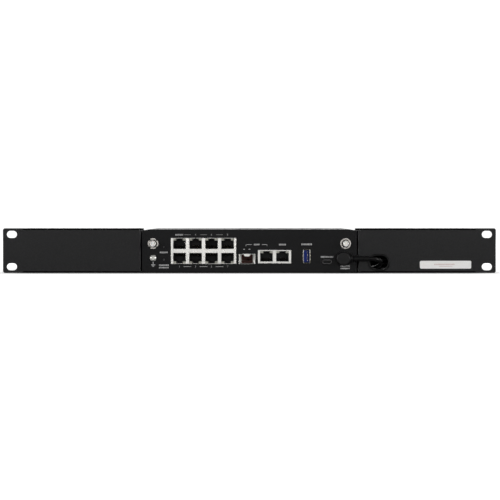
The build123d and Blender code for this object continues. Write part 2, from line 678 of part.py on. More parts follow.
def make_cover_screws():
    shank_end, recess_width, recess_depth = 6.0, 0.8, 0.7
    with BuildPart() as screws:
        for side in (-1, 1):
            for y in COVER_SCREW_Y:
                middle = side * (CASE_HALF_WIDTH - CASE_SHEET / 2)
                head = Location((middle, y, COVER_SCREW_Z), (0, side * 90, 0))
                shank_middle = CASE_HALF_WIDTH - CASE_SHEET - shank_end / 2
                with Locations(head):
                    Cone(M3_RADIUS, M3_RADIUS + CASE_SHEET, CASE_SHEET)
                with Locations(Location((side * shank_middle, y, COVER_SCREW_Z), (0, 90, 0))):
                    Cylinder(M3_RADIUS, shank_end)
                recess = sorted(side * x for x in (CASE_HALF_WIDTH - recess_depth, CASE_HALF_WIDTH))
                block(recess, ends(y, M3_RADIUS), ends(COVER_SCREW_Z, recess_width / 2), Mode.SUBTRACT)
                block(recess, ends(y, recess_width / 2), ends(COVER_SCREW_Z, M3_RADIUS), Mode.SUBTRACT)
    save(screws, "cover_screws")


def make_rear_bezel():
    edge = 2.2
    with BuildPart() as bezel:
        extrude(case_section(BEZEL_REAR, CASE_HALF_WIDTH, CASE_BOTTOM, CASE_TOP),
                amount=BEZEL_REAR - CHASSIS_REAR)
        fillet(bezel.faces().sort_by(Axis.Y)[-1].edges(), edge)
        block(ends(0, CASE_HALF_WIDTH - BEZEL_WALL), (CHASSIS_REAR, BEZEL_REAR - BEZEL_WALL),
              (CASE_BOTTOM + BEZEL_WALL, CASE_TOP - BEZEL_WALL), Mode.SUBTRACT)
        for x, z in LIGHT_PIPES:
            rod_y(x, z, LIGHT_PIPE_RADIUS, (BEZEL_REAR - BEZEL_WALL, BEZEL_REAR), Mode.SUBTRACT)
    save(bezel, "rear_bezel")


def make_light_pipes():
    """Light pipes of the rear bezel on their common bar, and the light windows of the RJ45 sockets."""
    with BuildPart() as pipes:
        for x, z in LIGHT_PIPES:
            rod_y(x, z, LIGHT_PIPE_RADIUS, (LIGHT_PIPE_START, BEZEL_REAR + LIGHT_PIPE_DOME))
        fillet(pipes.faces().filter_by(GeomType.PLANE).group_by(Axis.Y)[-1].edges(), LIGHT_PIPE_DOME)
        first, last = LIGHT_PIPES[0], LIGHT_PIPES[-1]
        block((first[0], last[0]), (LIGHT_PIPE_START, LIGHT_PIPE_START + LIGHT_BAR_DEPTH),
              ends(first[1], LIGHT_PIPE_RADIUS))
        for x, z in jack_windows(LAN_JACKS + WAN_JACKS, WINDOW_CLEARANCE):
            block(x, (WINDOW_FRONT, WINDOW_FRONT + WINDOW_DEPTH), z)
    save(pipes, "light_pipes")


def make_rubber_feet():
    with BuildPart() as feet:
        for x, y in FOOT_PLACES:
            rod_z(x, y, FOOT_RADIUS, (BASE_BOTTOM, CASE_BOTTOM))
        chamfer(feet.faces().group_by(Axis.Z)[0].edges(), FOOT_EDGE)
    save(feet, "rubber_feet")


# ---------------------------------------------------------------- RJ45 gangs

def jack_mouth(x, z, up):
    """Outline of one socket: its contact side at height z, its latch notch pointing along up."""
    reach = 0
    for width, height in (
        (JACK_WIDTH, JACK_HEIGHT),
        (JACK_STEP_WIDTH, JACK_STEP_HEIGHT),
        (JACK_NOTCH_WIDTH, JACK_NOTCH_HEIGHT),
    ):
        with Locations((x, z + up * (reach + height / 2))):
            Rectangle(width, height)
        reach += height


def jack_windows(jacks, clearance=0):
    """Extent across and up of the two light windows beside each socket's latch notch."""
    half_width, half_height = WINDOW_WIDTH / 2, WINDOW_HEIGHT / 2
    windows = []
    for x, z, up in jacks:
        middle = z + up * (JACK_MOUTH_HEIGHT - half_height)
        for side in (-1, 1):
            windows.append((ends(x + side * (JACK_WIDTH / 2 - half_width), half_width - clearance),
                            ends(middle, half_height - clearance)))
    return windows


def make_gang_shield(name, x, z, jacks):
    edge = 0.25
    with BuildPart() as shield:
        block(x, (GANG_FRONT, GANG_REAR), z)
        block((x[0] + GANG_WALL, x[1] - GANG_WALL), (GANG_FRONT + GANG_FACE, GANG_REAR),
              (z[0] + GANG_WALL, z[1] - GANG_WALL), Mode.SUBTRACT)
        for jack_x, jack_z, up in jacks:
            opening = ends(jack_z + up * JACK_MOUTH_HEIGHT / 2, JACK_MOUTH_HEIGHT / 2)
            block(ends(jack_x, JACK_WIDTH / 2), (GANG_FRONT, GANG_FRONT + GANG_FACE), opening, Mode.SUBTRACT)
        chamfer(shield.faces().sort_by(Axis.Y)[0].outer_wire().edges(), edge)
    save(shield, name)


def make_gang_housing(name, z, jacks):
    """One moulded block for each column of sockets, pocketed for the light windows."""
    front = GANG_FRONT + GANG_FACE
    half_width = (JACK_PITCH - JACK_BLOCK_GAP) / 2
    with BuildPart() as housing:
        for x in sorted({jack[0] for jack in jacks}):
            block(ends(x, half_width), (front, GANG_REAR), (z[0] + GANG_WALL, z[1] - GANG_WALL))
        with BuildSketch(front_plane(CAVITY_REAR)):
            for jack in jacks:
                jack_mouth(*jack)
        extrude(amount=CAVITY_REAR - front, mode=Mode.SUBTRACT)
        for window_x, window_z in jack_windows(jacks):
            block(window_x, (front, WINDOW_FRONT + WINDOW_DEPTH), window_z, Mode.SUBTRACT)
    save(housing, name)


def make_gang_contacts(name, jacks):
    """Eight sprung wires in each socket, rising from the contact side towards the rear."""
    thick = CONTACT_THICKNESS
    wire = (
        (CONTACT_FOOT, 0),
        (CONTACT_FOOT + 2 * thick, 0),
        (CONTACT_KNEE, CONTACT_RISE - thick),
        (CAVITY_REAR, CONTACT_RISE - thick),
        (CAVITY_REAR, CONTACT_RISE),
        (CONTACT_KNEE - thick, CONTACT_RISE),
    )
    middle = (CONTACTS_PER_JACK - 1) / 2
    with BuildPart() as contacts:
        for x, z, up in jacks:
            offsets = [x + (i - middle) * CONTACT_PITCH - CONTACT_WIDTH / 2 for i in range(CONTACTS_PER_JACK)]
            with BuildSketch(*[Plane.YZ.offset(offset) for offset in offsets]):
                with BuildLine():
                    Polyline(*[(y, z + up * rise) for y, rise in wire], close=True)
                make_face()
            extrude(amount=CONTACT_WIDTH)
    save(contacts, name)


def make_gangs():
    for gang, x, z, jacks in (
        ("lan_jack", ends(LAN_CENTRE, LAN_HALF_WIDTH), LAN_Z, LAN_JACKS),
        ("wan_jack", ends(WAN_CENTRE, WAN_HALF_WIDTH), WAN_Z, WAN_JACKS),
    ):
        make_gang_shield(f"{gang}_shield", x, z, jacks)
        make_gang_housing(f"{gang}_housing", z, jacks)
        make_gang_contacts(f"{gang}_contacts", jacks)


# ---------------------------------------------------------------- other ports

def make_sfp_cage():
    flange_top, slit_half_width, slit_start = SFP_LIP / 2, 0.2, FACE_REAR + 0.4
    body_x = (SFP_X[0] + SFP_LIP, SFP_X[1] - SFP_LIP)
    body_z = (SFP_Z[0], SFP_Z[1] - flange_top)
    inner_x = (body_x[0] + SFP_WALL, body_x[1] - SFP_WALL)
    inner_z = (body_z[0] + SFP_WALL, body_z[1] - SFP_WALL)
    middle = sum(SFP_X) / 2
    tab_top, tab_tip = SFP_TAB_HALF_WIDTHS
    with BuildPart() as cage:
        block(SFP_X, (PORT_FRONT, CASE_FRONT), SFP_Z)
        block(body_x, (CASE_FRONT, SFP_REAR), body_z)
        block(inner_x, (PORT_FRONT, SFP_REAR - SFP_WALL), inner_z, Mode.SUBTRACT)
        block(inner_x, (SFP_FLOOR_END, SFP_REAR - SFP_WALL), body_z, Mode.SUBTRACT)
        block(body_x, (SFP_FLOOR_END, SFP_REAR - SFP_WALL), (body_z[1] - SFP_WALL, body_z[1]))
        # Latch tab that hangs into the mouth.
        with BuildSketch(front_plane(PORT_FRONT + SFP_TAB_THICKNESS)):
            with BuildLine():
                Polyline((middle - tab_top, body_z[1]), (middle + tab_top, body_z[1]),
                         (middle + tab_tip, inner_z[1] - SFP_TAB_HEIGHT),
                         (middle - tab_tip, inner_z[1] - SFP_TAB_HEIGHT), close=True)
            make_face()
        extrude(amount=SFP_TAB_THICKNESS)
        # Sprung fingers round the mouth, parted by narrow slits.
        for x in SFP_SLITS:
            block(ends(x, slit_half_width), (slit_start, SFP_SLIT_END), (body_z[1] - SFP_WALL, body_z[1]),
                  Mode.SUBTRACT)
    save(cage, "sfp_cage")


def make_sfp_connector():
    body_x, body_y, mouth_y, side = (-7.9, 3.3), (35.0, 45.2), (35.0, 42.0), 0.8
    top, mouth_z = -4.6, (-10.6, -9.2)
    with BuildPart() as connector:
        block(body_x, body_y, (BOARD_TOP, top))
        block((body_x[0] + side, body_x[1] - side), mouth_y, mouth_z, Mode.SUBTRACT)
    save(connector, "sfp_connector")


def make_usb_port():
    insulator_front, leg, leg_depth = 9.0, 0.6, 3.0
    inner_x = (USB_X[0] + USB_WALL, USB_X[1] - USB_WALL)
    inner_z = (USB_Z[0] + USB_WALL, USB_Z[1] - USB_WALL)
    with BuildPart() as shell:
        block(USB_X, (PORT_FRONT, USB_REAR), USB_Z)
        block(inner_x, (PORT_FRONT, USB_REAR), inner_z, Mode.SUBTRACT)
        chamfer(shell.faces().sort_by(Axis.Y)[0].outer_wire().edges(), 0.15)
        for x in (USB_X[0] + leg / 2, USB_X[1] - leg / 2):
            for y in USB_LEG_Y:
                block(ends(x, leg / 2), ends(y, leg_depth / 2), (BOARD_TOP, USB_Z[0]))
    save(shell, "usb_port_shell")

    tongue_x, tongue_z, tongue_front = (53.5, 56.5), (-11.1, -0.1), -0.9
    with BuildPart() as tongue:
        block(inner_x, (insulator_front, USB_REAR), inner_z)
        block(tongue_x, (tongue_front, insulator_front), tongue_z)
    save(tongue, "usb_port_tongue")

    contact_thickness, contact_start, contact_pitch, contact_half = 0.4, -0.8, 2.4, 0.8
    with BuildPart() as contacts:
        for i in range(4):
            z = sum(tongue_z) / 2 + (i - 1.5) * contact_pitch
            block((tongue_x[1], tongue_x[1] + contact_thickness), (contact_start, insulator_front),
                  ends(z, contact_half))
    save(contacts, "usb_port_contacts")


def make_console_port():
    wall, insulator_front = 0.35, 4.5
    tongue_half_width, tongue_half_height, tongue_front = 3.3, 0.35, -0.5
    leg_x, leg_y = 3.2, (1.8, 5.6)
    with BuildPart() as shell:
        with BuildSketch(front_plane(CONSOLE_REAR)):
            with Locations((CONSOLE_X, CONSOLE_Z)):
                SlotOverall(CONSOLE_WIDTH, CONSOLE_HEIGHT)
                SlotOverall(CONSOLE_WIDTH - 2 * wall, CONSOLE_HEIGHT - 2 * wall, mode=Mode.SUBTRACT)
        extrude(amount=CONSOLE_REAR - PORT_FRONT)
        # Solder legs down to the board, below the round ends' tangent points.
        block(ends(CONSOLE_X, leg_x / 2), leg_y, (BOARD_TOP, CONSOLE_Z - CONSOLE_HEIGHT / 2 + wall / 2))
    save(shell, "console_port_shell")
    with BuildPart() as tongue:
        with BuildSketch(front_plane(CONSOLE_REAR)):
            with Locations((CONSOLE_X, CONSOLE_Z)):
                SlotOverall(CONSOLE_WIDTH - 2 * wall, CONSOLE_HEIGHT - 2 * wall)
        extrude(amount=CONSOLE_REAR - insulator_front)
        block(ends(CONSOLE_X, tongue_half_width), (tongue_front, insulator_front),
              ends(CONSOLE_Z, tongue_half_height))
    save(tongue, "console_port_tongue")


def make_power_jack():
    half_width, top, bore_rear, pin_radius, pin_front = 4.8, -2.3, 11.0, 1.0, 0.6
    with BuildPart() as jack:
        block(ends(POWER_X, half_width), (FACE_REAR, POWER_REAR), (BOARD_TOP, top))
        rod_y(POWER_X, POWER_Z, POWER_COLLAR_RADIUS, (CASE_FRONT, FACE_REAR))
        rod_y(POWER_X, POWER_Z, POWER_BORE_RADIUS, (CASE_FRONT, bore_rear), Mode.SUBTRACT)
    save(jack, "power_jack_body")
    with BuildPart() as pin:
        rod_y(POWER_X, POWER_Z, pin_radius, (pin_front, bore_rear))
        fillet(pin.faces().sort_by(Axis.Y)[0].edges(), pin_radius * 0.6)
    save(pin, "power_jack_pin")


# ---------------------------------------------------------------- aerial jacks, earth screw

def make_aerial_jack(name, x):
    """Threaded body with a flange behind the face and a tail for its lead."""
    thread_end = CASE_FRONT + AERIAL_THREAD_PITCH
    flange_radius, flange_end, tail_radius = 4.4, 2.0, 2.2
    root = AERIAL_RADIUS - AERIAL_THREAD_DEPTH
    turns = int((thread_end - AERIAL_TIP) / AERIAL_THREAD_PITCH)
    thread = []
    for turn in range(turns):
        start = AERIAL_TIP + turn * AERIAL_THREAD_PITCH
        thread += [(root, start), (AERIAL_RADIUS, start + AERIAL_THREAD_PITCH / 2)]
    outline = [(AERIAL_BORE, AERIAL_TIP)] + thread + [
        (AERIAL_RADIUS, FACE_REAR),
        (flange_radius, FACE_REAR),
        (flange_radius, flange_end),
        (tail_radius, flange_end),
        (tail_radius, AERIAL_TAIL_REAR),
        (0, AERIAL_TAIL_REAR),
        (0, 0),
        (AERIAL_BORE, 0),
    ]
    with BuildPart() as jack:
        with BuildSketch(Plane.XY.offset(AERIAL_Z)):
            with BuildLine():
                Polyline(*[(x + radius, y) for radius, y in outline], close=True)
            make_face()
        revolve(axis=Axis((x, 0, AERIAL_Z), (0, 1, 0)))
    save(jack, name)


def coned_nut(x, seat, hole):
    """Hex nut on the face, turned down to a cone in front."""
    with BuildPart() as nut:
        with BuildSketch(front_plane(seat)):
            with Locations((x, AERIAL_Z)):
                RegularPolygon(AERIAL_NUT_FLATS / 2, 6, major_radius=False)
                Circle(hole, mode=Mode.SUBTRACT)
        extrude(amount=AERIAL_NUT)
        with Locations(Location((x, seat - AERIAL_NUT / 2, AERIAL_Z), (90, 0, 0))):
            Cone(AERIAL_NUT_REAR_RADIUS, AERIAL_NUT_FRONT_RADIUS, AERIAL_NUT, mode=Mode.INTERSECT)
    return nut.part


def make_aerial_fittings():
    """Nuts with their washers, and insulators with their centre pins, of both aerial jacks."""
    nut_seat = CASE_FRONT - AERIAL_WASHER
    hole = AERIAL_RADIUS + SCREW_CLEARANCE
    core_front, pin_radius, pin_front = -9.5, 0.65, -9.8
    notch_middle = AERIAL_NOTCH_ROOT + AERIAL_NOTCH / 2
    with BuildPart() as nuts:
        for x in (-AERIAL_X, AERIAL_X):
            rod_y(x, AERIAL_Z, AERIAL_WASHER_RADIUS, (nut_seat, CASE_FRONT))
            rod_y(x, AERIAL_Z, hole, (nut_seat, CASE_FRONT), Mode.SUBTRACT)
        # The left jack's lock washer is notched between its teeth.
        for i in range(AERIAL_NOTCHES):
            angle = 360 * (i + 0.5) / AERIAL_NOTCHES
            across, up = notch_middle * cos(radians(angle)), notch_middle * sin(radians(angle))
            place = Location((across - AERIAL_X, nut_seat + AERIAL_WASHER / 2, AERIAL_Z + up), (0, -angle, 0))
            with Locations(place):
                Box(AERIAL_NOTCH, AERIAL_WASHER, AERIAL_NOTCH, mode=Mode.SUBTRACT)
        for x in (-AERIAL_X, AERIAL_X):
            add(coned_nut(x, nut_seat, hole))
    save(nuts, "aerial_nuts")
    with BuildPart() as cores:
        for x in (-AERIAL_X, AERIAL_X):
            rod_y(x, AERIAL_Z, AERIAL_BORE, (core_front, 0))
            rod_y(x, AERIAL_Z, pin_radius, (pin_front, core_front))
    save(cores, "aerial_cores")


def make_earth_screw():
    head_radius, head_height, washer_radius, washer, tip = 2.7, 1.8, 3.1, 0.6, 5.5
    recess_length, recess_width, recess_depth = 3.0, 0.8, 1.1
    seat = CASE_FRONT - washer
    front = seat - head_height
    with BuildPart() as screw:
        rod_y(EARTH_X, EARTH_Z, head_radius, (front, seat))
        fillet(screw.faces().sort_by(Axis.Y)[0].edges(), head_height * 0.4)
        rod_y(EARTH_X, EARTH_Z, washer_radius, (seat, CASE_FRONT))
        rod_y(EARTH_X, EARTH_Z, EARTH_SCREW_RADIUS, (CASE_FRONT, tip))
        recess = (front, front + recess_depth)
        block(ends(EARTH_X, recess_length / 2), recess, ends(EARTH_Z, recess_width / 2), Mode.SUBTRACT)
        block(ends(EARTH_X, recess_width / 2), recess, ends(EARTH_Z, recess_length / 2), Mode.SUBTRACT)
    save(screw, "earth_screw")


# ---------------------------------------------------------------- recessed buttons

def make_buttons():
    with BuildPart() as switches:
        for z in (RESET_Z, DEFAULT_Z):
            half = SWITCH_SIZE / 2
            block(ends(BUTTON_X, half), (SWITCH_FRONT, SWITCH_REAR), ends(z, half))
            rod_y(BUTTON_X, z, BUTTON_RADIUS + BUTTON_CLEARANCE, (SWITCH_FRONT, SWITCH_BORE_REAR),
                  Mode.SUBTRACT)
    save(switches, "button_switches")
    for name, z in (("reset_button", RESET_Z), ("default_button", DEFAULT_Z)):
        with BuildPart() as button:
            rod_y(BUTTON_X, z, BUTTON_RADIUS, (BUTTON_FRONT, BUTTON_REAR))
            fillet(button.faces().sort_by(Axis.Y)[0].edges(), 0.3)
        save(button, name)


# ---------------------------------------------------------------- electronics in the firewall

def make_main_board():
    upright_half, upright_top = 5.2, 8.0
    with BuildPart() as board:
        block(ends(0, BOARD_HALF_WIDTH), (BOARD_FRONT, BOARD_REAR), (BOARD_BOTTOM, BOARD_TOP))
        for x, y in BOARD_FIXINGS:
            rod_z(x, y, M3_RADIUS + SCREW_CLEARANCE, (BOARD_BOTTOM, BOARD_TOP), Mode.SUBTRACT)
        # Upright board that carries the two push switches.
        block(ends(BUTTON_X, upright_half), (SWITCH_REAR, SWITCH_REAR + BOARD_THICKNESS),
              (BOARD_TOP, upright_top))
    save(board, "main_board")


def make_board_fixings():
    """Hex standoffs under the main board, with the screws that hold it."""
    flats, bore_depth, head_radius, head_height = 5.5, 4.0, 2.8, 1.9
    with BuildPart() as fixings:
        with BuildSketch(Plane.XY.offset(FLOOR_TOP)):
            with Locations(*BOARD_FIXINGS):
                RegularPolygon(flats / 2, 6, major_radius=False)
        extrude(amount=BOARD_BOTTOM - FLOOR_TOP)
        for x, y in BOARD_FIXINGS:
            rod_z(x, y, M3_RADIUS + SCREW_CLEARANCE, (BOARD_BOTTOM - bore_depth, BOARD_BOTTOM), Mode.SUBTRACT)
            pan_screw(x, y, BOARD_TOP, head_radius, head_height, M3_RADIUS, BOARD_BOTTOM - bore_depth + 0.5)
    save(fixings, "board_fixings")


def make_processor():
    """Processor, its thermal pad and a finned heatsink that stands on the board on four posts."""
    x, y = PROCESSOR_CENTRE
    substrate_top, package_top, pad_top = BOARD_TOP + 1.0, BOARD_TOP + 2.2, BOARD_TOP + 2.8
    base_top, fin_top, lid_half = BOARD_TOP + 6.8, 12.0, PROCESSOR_HALF * 0.7
    sink_half, fin_count, fin_thickness, post_inset, post_radius = 38.0, 14, 1.4, 5.0, 2.2
    with BuildPart() as package:
        block(ends(x, PROCESSOR_HALF), ends(y, PROCESSOR_HALF), (BOARD_TOP, substrate_top))
        block(ends(x, lid_half), ends(y, lid_half), (substrate_top, package_top))
    save(package, "processor")
    with BuildPart() as pad:
        block(ends(x, lid_half), ends(y, lid_half), (package_top, pad_top))
    save(pad, "thermal_pad")
    with BuildPart() as sink:
        block(ends(x, sink_half), ends(y, sink_half), (pad_top, base_top))
        pitch = (2 * sink_half - fin_thickness) / (fin_count - 1)
        for i in range(fin_count):
            start = x - sink_half + i * pitch
            block((start, start + fin_thickness), ends(y, sink_half), (base_top, fin_top))
        for post_x in ends(x, sink_half - post_inset):
            for post_y in ends(y, sink_half - post_inset):
                rod_z(post_x, post_y, post_radius, (BOARD_TOP, pad_top))
    save(sink, "heatsink")


def make_board_parts():
    """Network and memory chips, coils, capacitors and the clock's coin cell."""
    memory_half_length, memory_half_width, memory_height = 5.5, 5.0, 1.1
    coil_half, coil_height, coil_corner = 5.0, 5.0, 1.2
    can_radius, can_height, can_edge = 4.0, 11.0, 0.6
    with BuildPart() as chips:
        for x, y, half, height in NETWORK_CHIPS:
            block(ends(x, half), ends(y, half), (BOARD_TOP, BOARD_TOP + height))
        for x, y in MEMORY_CHIPS:
            block(ends(x, memory_half_length), ends(y, memory_half_width),
                  (BOARD_TOP, BOARD_TOP + memory_height))
    save(chips, "board_chips")
    with BuildPart() as power_parts:
        for x, y in COILS:
            block(ends(x, coil_half), ends(y, coil_half), (BOARD_TOP, BOARD_TOP + coil_height))
        fillet(power_parts.edges().filter_by(Axis.Z), coil_corner)
        for x, y in CAPACITORS:
            rod_z(x, y, can_radius, (BOARD_TOP, BOARD_TOP + can_height))
        fillet(power_parts.faces().group_by(Axis.Z)[-1].edges(), can_edge)
    save(power_parts, "power_parts")
    cell_radius, cell_height, holder_height, holder_half_x, holder_half_y = 10.0, 3.2, 1.0, 6.0, 11.5
    x, y = CELL_CENTRE
    with BuildPart() as cell:
        rod_z(x, y, cell_radius, (BOARD_TOP + holder_height, BOARD_TOP + holder_height + cell_height))
        block(ends(x, holder_half_x), ends(y, holder_half_y), (BOARD_TOP, BOARD_TOP + holder_height))
    save(cell, "clock_cell")


def make_radio_card():
    """Radio card in its edge socket, with a shield can, standing clear of the main board."""
    can_top, can_side, can_front, can_rear = CARD_Z[1] + 2.0, 4.0, 22.0, 8.0
    socket_rise, post_inset, post_radius = 1.0, 3.0, 2.5
    with BuildPart() as card:
        block(CARD_X, CARD_Y, CARD_Z)
        block((CARD_X[0] + can_side, CARD_X[1] - can_side), (CARD_Y[0] + can_front, CARD_Y[1] - can_rear),
              (CARD_Z[1], can_top))
    save(card, "radio_card")
    with BuildPart() as socket:
        block(CARD_X, (CARD_Y[0] - CARD_SOCKET_DEPTH, CARD_Y[0]), (BOARD_TOP, CARD_Z[1] + socket_rise))
        rod_z(sum(CARD_X) / 2, CARD_Y[1] - post_inset, post_radius, (BOARD_TOP, CARD_Z[0]))
    save(socket, "card_socket")


def corner_radii(route):
    """Radius of the arc at each inner point, as large as the shorter of its two runs allows."""
    share = 0.45
    points = [Vector(*point) for point in route]
    radii = []
    for before, here, after in zip(points, points[1:], points[2:]):
        turn = (here - before).get_angle(after - here)
        run = min((here - before).length, (after - here).length)
        radii.append(share * run / tan(radians(turn / 2)))
    return radii


def report_tube(name, route_length, radius, volume, radii):
    """Print the arc radii, and the tube's volume against its section times its length."""
    expected = pi * radius**2 * route_length
    print(name, "radii", [round(value, 1) for value in radii], "length", round(route_length, 1),
          "volume ratio", round(volume / expected, 4))


def make_aerial_lead(name, route):
    radii = corner_radii(route)
    plug_x, plug_y = route[-1][:2]
    with BuildPart() as lead:
        with BuildLine():
            path = FilletPolyline(*route, radius=radii)
        with BuildSketch(Plane(origin=path @ 0, z_dir=path % 0)):
            Circle(AERIAL_LEAD_RADIUS)
        sweep()
        report_tube(name, path.length, AERIAL_LEAD_RADIUS, lead.part.volume, radii)
        rod_z(plug_x, plug_y, AERIAL_PLUG_RADIUS, (CARD_Z[1], CARD_Z[1] + AERIAL_PLUG_HEIGHT))
    save(lead, name)


# ---------------------------------------------------------------- power adapter

def make_adapter_half(name, low, high):
    """One half of the adapter's case, with its share of the inlet opening and of the lead's hole."""
    length = ADAPTER_REAR - ADAPTER_FRONT
    centre = (ADAPTER_X, (ADAPTER_FRONT + ADAPTER_REAR) / 2)
    is_lower = high == ADAPTER_SEAM
    seam_chamfer, lead_hole = 0.4, 3.2
    inner = (low + ADAPTER_WALL, high) if is_lower else (low, high - ADAPTER_WALL)
    with BuildPart() as half:
        with BuildSketch(Plane.XY.offset(low)):
            with Locations(centre):
                RectangleRounded(ADAPTER_WIDTH, length, ADAPTER_CORNER)
        extrude(amount=high - low)
        closed, seam = (0, -1) if is_lower else (-1, 0)
        fillet(half.faces().sort_by(Axis.Z)[closed].edges(), ADAPTER_EDGE)
        chamfer(half.faces().sort_by(Axis.Z)[seam].edges(), seam_chamfer)
        with BuildSketch(Plane.XY.offset(inner[0])):
            with Locations(centre):
                RectangleRounded(ADAPTER_WIDTH - 2 * ADAPTER_WALL, length - 2 * ADAPTER_WALL,
                                 ADAPTER_CORNER - ADAPTER_WALL)
        extrude(amount=inner[1] - inner[0], mode=Mode.SUBTRACT)
        block(ends(ADAPTER_X, INLET_HALF_WIDTH), (ADAPTER_REAR - 2 * ADAPTER_WALL, ADAPTER_REAR),
              ends(ADAPTER_SEAM, INLET_HALF_HEIGHT), Mode.SUBTRACT)
        rod_y(ADAPTER_X, ADAPTER_SEAM, lead_hole, (ADAPTER_FRONT, ADAPTER_FRONT + ADAPTER_WALL),
              Mode.SUBTRACT)
    save(half, name)


def make_adapter_inlet():
    """Mains inlet at the adapter's rear, open to the rear, with two chamfered corners."""
    cavity_half_width, cavity_half_height, cavity_depth, key_chamfer = 12.0, 8.0, 15.5, 4.0
    pin_spacing, pin_half_width, pin_half_height, pin_length, earth_rise = 7.0, 1.0, 2.0, 12.0, 3.5
    cavity_front = ADAPTER_REAR - cavity_depth
    with BuildPart() as inlet:
        block(ends(ADAPTER_X, INLET_HALF_WIDTH), (INLET_FRONT, ADAPTER_REAR),
              ends(ADAPTER_SEAM, INLET_HALF_HEIGHT))
        with BuildSketch(front_plane(ADAPTER_REAR)) as cavity:
            with Locations((ADAPTER_X, ADAPTER_SEAM)):
                Rectangle(2 * cavity_half_width, 2 * cavity_half_height)
            chamfer(cavity.vertices().group_by(Axis.Y)[-1], key_chamfer)
        extrude(amount=cavity_depth, mode=Mode.SUBTRACT)
    save(inlet, "adapter_inlet")
    with BuildPart() as pins:
        low_rise = -earth_rise / 2
        for offset, rise in ((-pin_spacing, low_rise), (0, -low_rise), (pin_spacing, low_rise)):
            block(ends(ADAPTER_X + offset, pin_half_width), (cavity_front, cavity_front + pin_length),
                  ends(ADAPTER_SEAM + rise, pin_half_height))
        chamfer(pins.faces().group_by(Axis.Y)[-1].edges(), 0.4)
    save(pins, "adapter_inlet_pins")


def make_adapter_circuit():
    """Circuit board of the adapter with its transformer, heat spreader and capacitors."""
    board_z, board_half_width, board_y = (BASE_TOP + 4.0, BASE_TOP + 5.6), 24.0, (114, 201)
    core_half_width, core_y, core_height = 13.0, (140, 168), 18.0
    spreader_x, spreader_y, spreader_height = (-22, -20), (120, 195), 17.0
    # Each capacitor: its place across and along, radius and height.
    cans = ((12, 184, 7, 19), (10, 124, 5, 16), (-4, 124, 5, 16))
    with BuildPart() as circuit:
        block(ends(ADAPTER_X, board_half_width), board_y, board_z)
        block(ends(ADAPTER_X, core_half_width), core_y, (board_z[1], board_z[1] + core_height))
        block([ADAPTER_X + x for x in spreader_x], spreader_y, (board_z[1], board_z[1] + spreader_height))
        for x, y, radius, height in cans:
            rod_z(ADAPTER_X + x, y, radius, (board_z[1], board_z[1] + height))
    save(circuit, "adapter_circuit")


def make_adapter_relief():
    """Tapered, grooved rubber sleeve where the lead leaves the adapter, held in the case by a collar."""
    root_radius, tip_radius, collar_radius, hole_radius = 4.4, 2.9, 5.2, 3.2
    collar, ribs = 2.0, 5
    length = ADAPTER_FRONT - ADAPTER_RELIEF_END
    rib = length / (2 * ribs)
    groove = 0.5
    outline = [(0, ADAPTER_RELIEF_END)]
    for i in range(2 * ribs):
        start, end = ADAPTER_RELIEF_END + i * rib, ADAPTER_RELIEF_END + (i + 1) * rib
        step = groove * (i % 2)
        outline += [(tip_radius + (root_radius - tip_radius) * (y - ADAPTER_RELIEF_END) / length - step, y)
                    for y in (start, end)]
    inside = ADAPTER_FRONT + ADAPTER_WALL
    outline += [
        (hole_radius, ADAPTER_FRONT), (hole_radius, inside), (collar_radius, inside),
        (collar_radius, inside + collar), (0, inside + collar),
    ]
    with BuildPart() as relief:
        with BuildSketch(Plane.XY.offset(ADAPTER_SEAM)):
            with BuildLine():
                Polyline(*[(ADAPTER_X + radius, y) for radius, y in outline], close=True)
            make_face()
        revolve(axis=Axis((ADAPTER_X, 0, ADAPTER_SEAM), (0, 1, 0)))
    save(relief, "adapter_relief")


# ---------------------------------------------------------------- power lead

def make_power_plug():
    """Right-angled plug: a round body in front of the face, and a barrel in the jack."""
    arm_radius, arm_end, edge = 4.6, POWER_X + 9.0, 1.4
    with BuildPart() as body:
        rod_y(POWER_X, POWER_Z, PLUG_RADIUS, PLUG_Y)
        fillet(body.faces().sort_by(Axis.Y)[0].edges(), edge)
        with BuildSketch(Plane.YZ.offset(POWER_X)):
            with Locations((PLUG_AXIS_Y, POWER_Z)):
                Circle(arm_radius)
        extrude(amount=arm_end - POWER_X)
        fillet(body.faces().filter_by(Axis.X).sort_by(Axis.X)[-1].edges(), edge)
    save(body, "power_plug_body")
    with BuildPart() as barrel:
        rod_y(POWER_X, POWER_Z, PLUG_BARREL_RADIUS, (PLUG_Y[1], PLUG_BARREL_END))
        rod_y(POWER_X, POWER_Z, PLUG_BARREL_BORE, (PLUG_Y[1], PLUG_BARREL_END), Mode.SUBTRACT)
    save(barrel, "power_plug_barrel")

    # Ribbed sleeve from the plug's arm to the start of the free lead.
    rib_radius, waist_radius, ribs = 2.7, 2.2, 3
    pitch = (RELIEF_END - arm_end) / ribs
    with BuildPart() as relief:
        for i in range(ribs):
            start = arm_end + i * pitch
            with BuildSketch(Plane.YZ.offset(start)):
                with Locations((PLUG_AXIS_Y, POWER_Z)):
                    Circle(waist_radius)
            extrude(amount=pitch)
            with BuildSketch(Plane.YZ.offset(start + pitch * 0.3)):
                with Locations((PLUG_AXIS_Y, POWER_Z)):
                    Circle(rib_radius)
            extrude(amount=pitch * 0.7)
    save(relief, "power_plug_relief")


def make_lead_tube(name, route):
    radii = corner_radii(route)
    with BuildPart() as tube:
        with BuildLine():
            path = FilletPolyline(*route, radius=radii)
        with BuildSketch(Plane(origin=path @ 0, z_dir=path % 0)):
            Circle(LEAD_RADIUS)
        sweep()
    report_tube(name, path.length, LEAD_RADIUS, tube.part.volume, radii)
    save(tube, name)


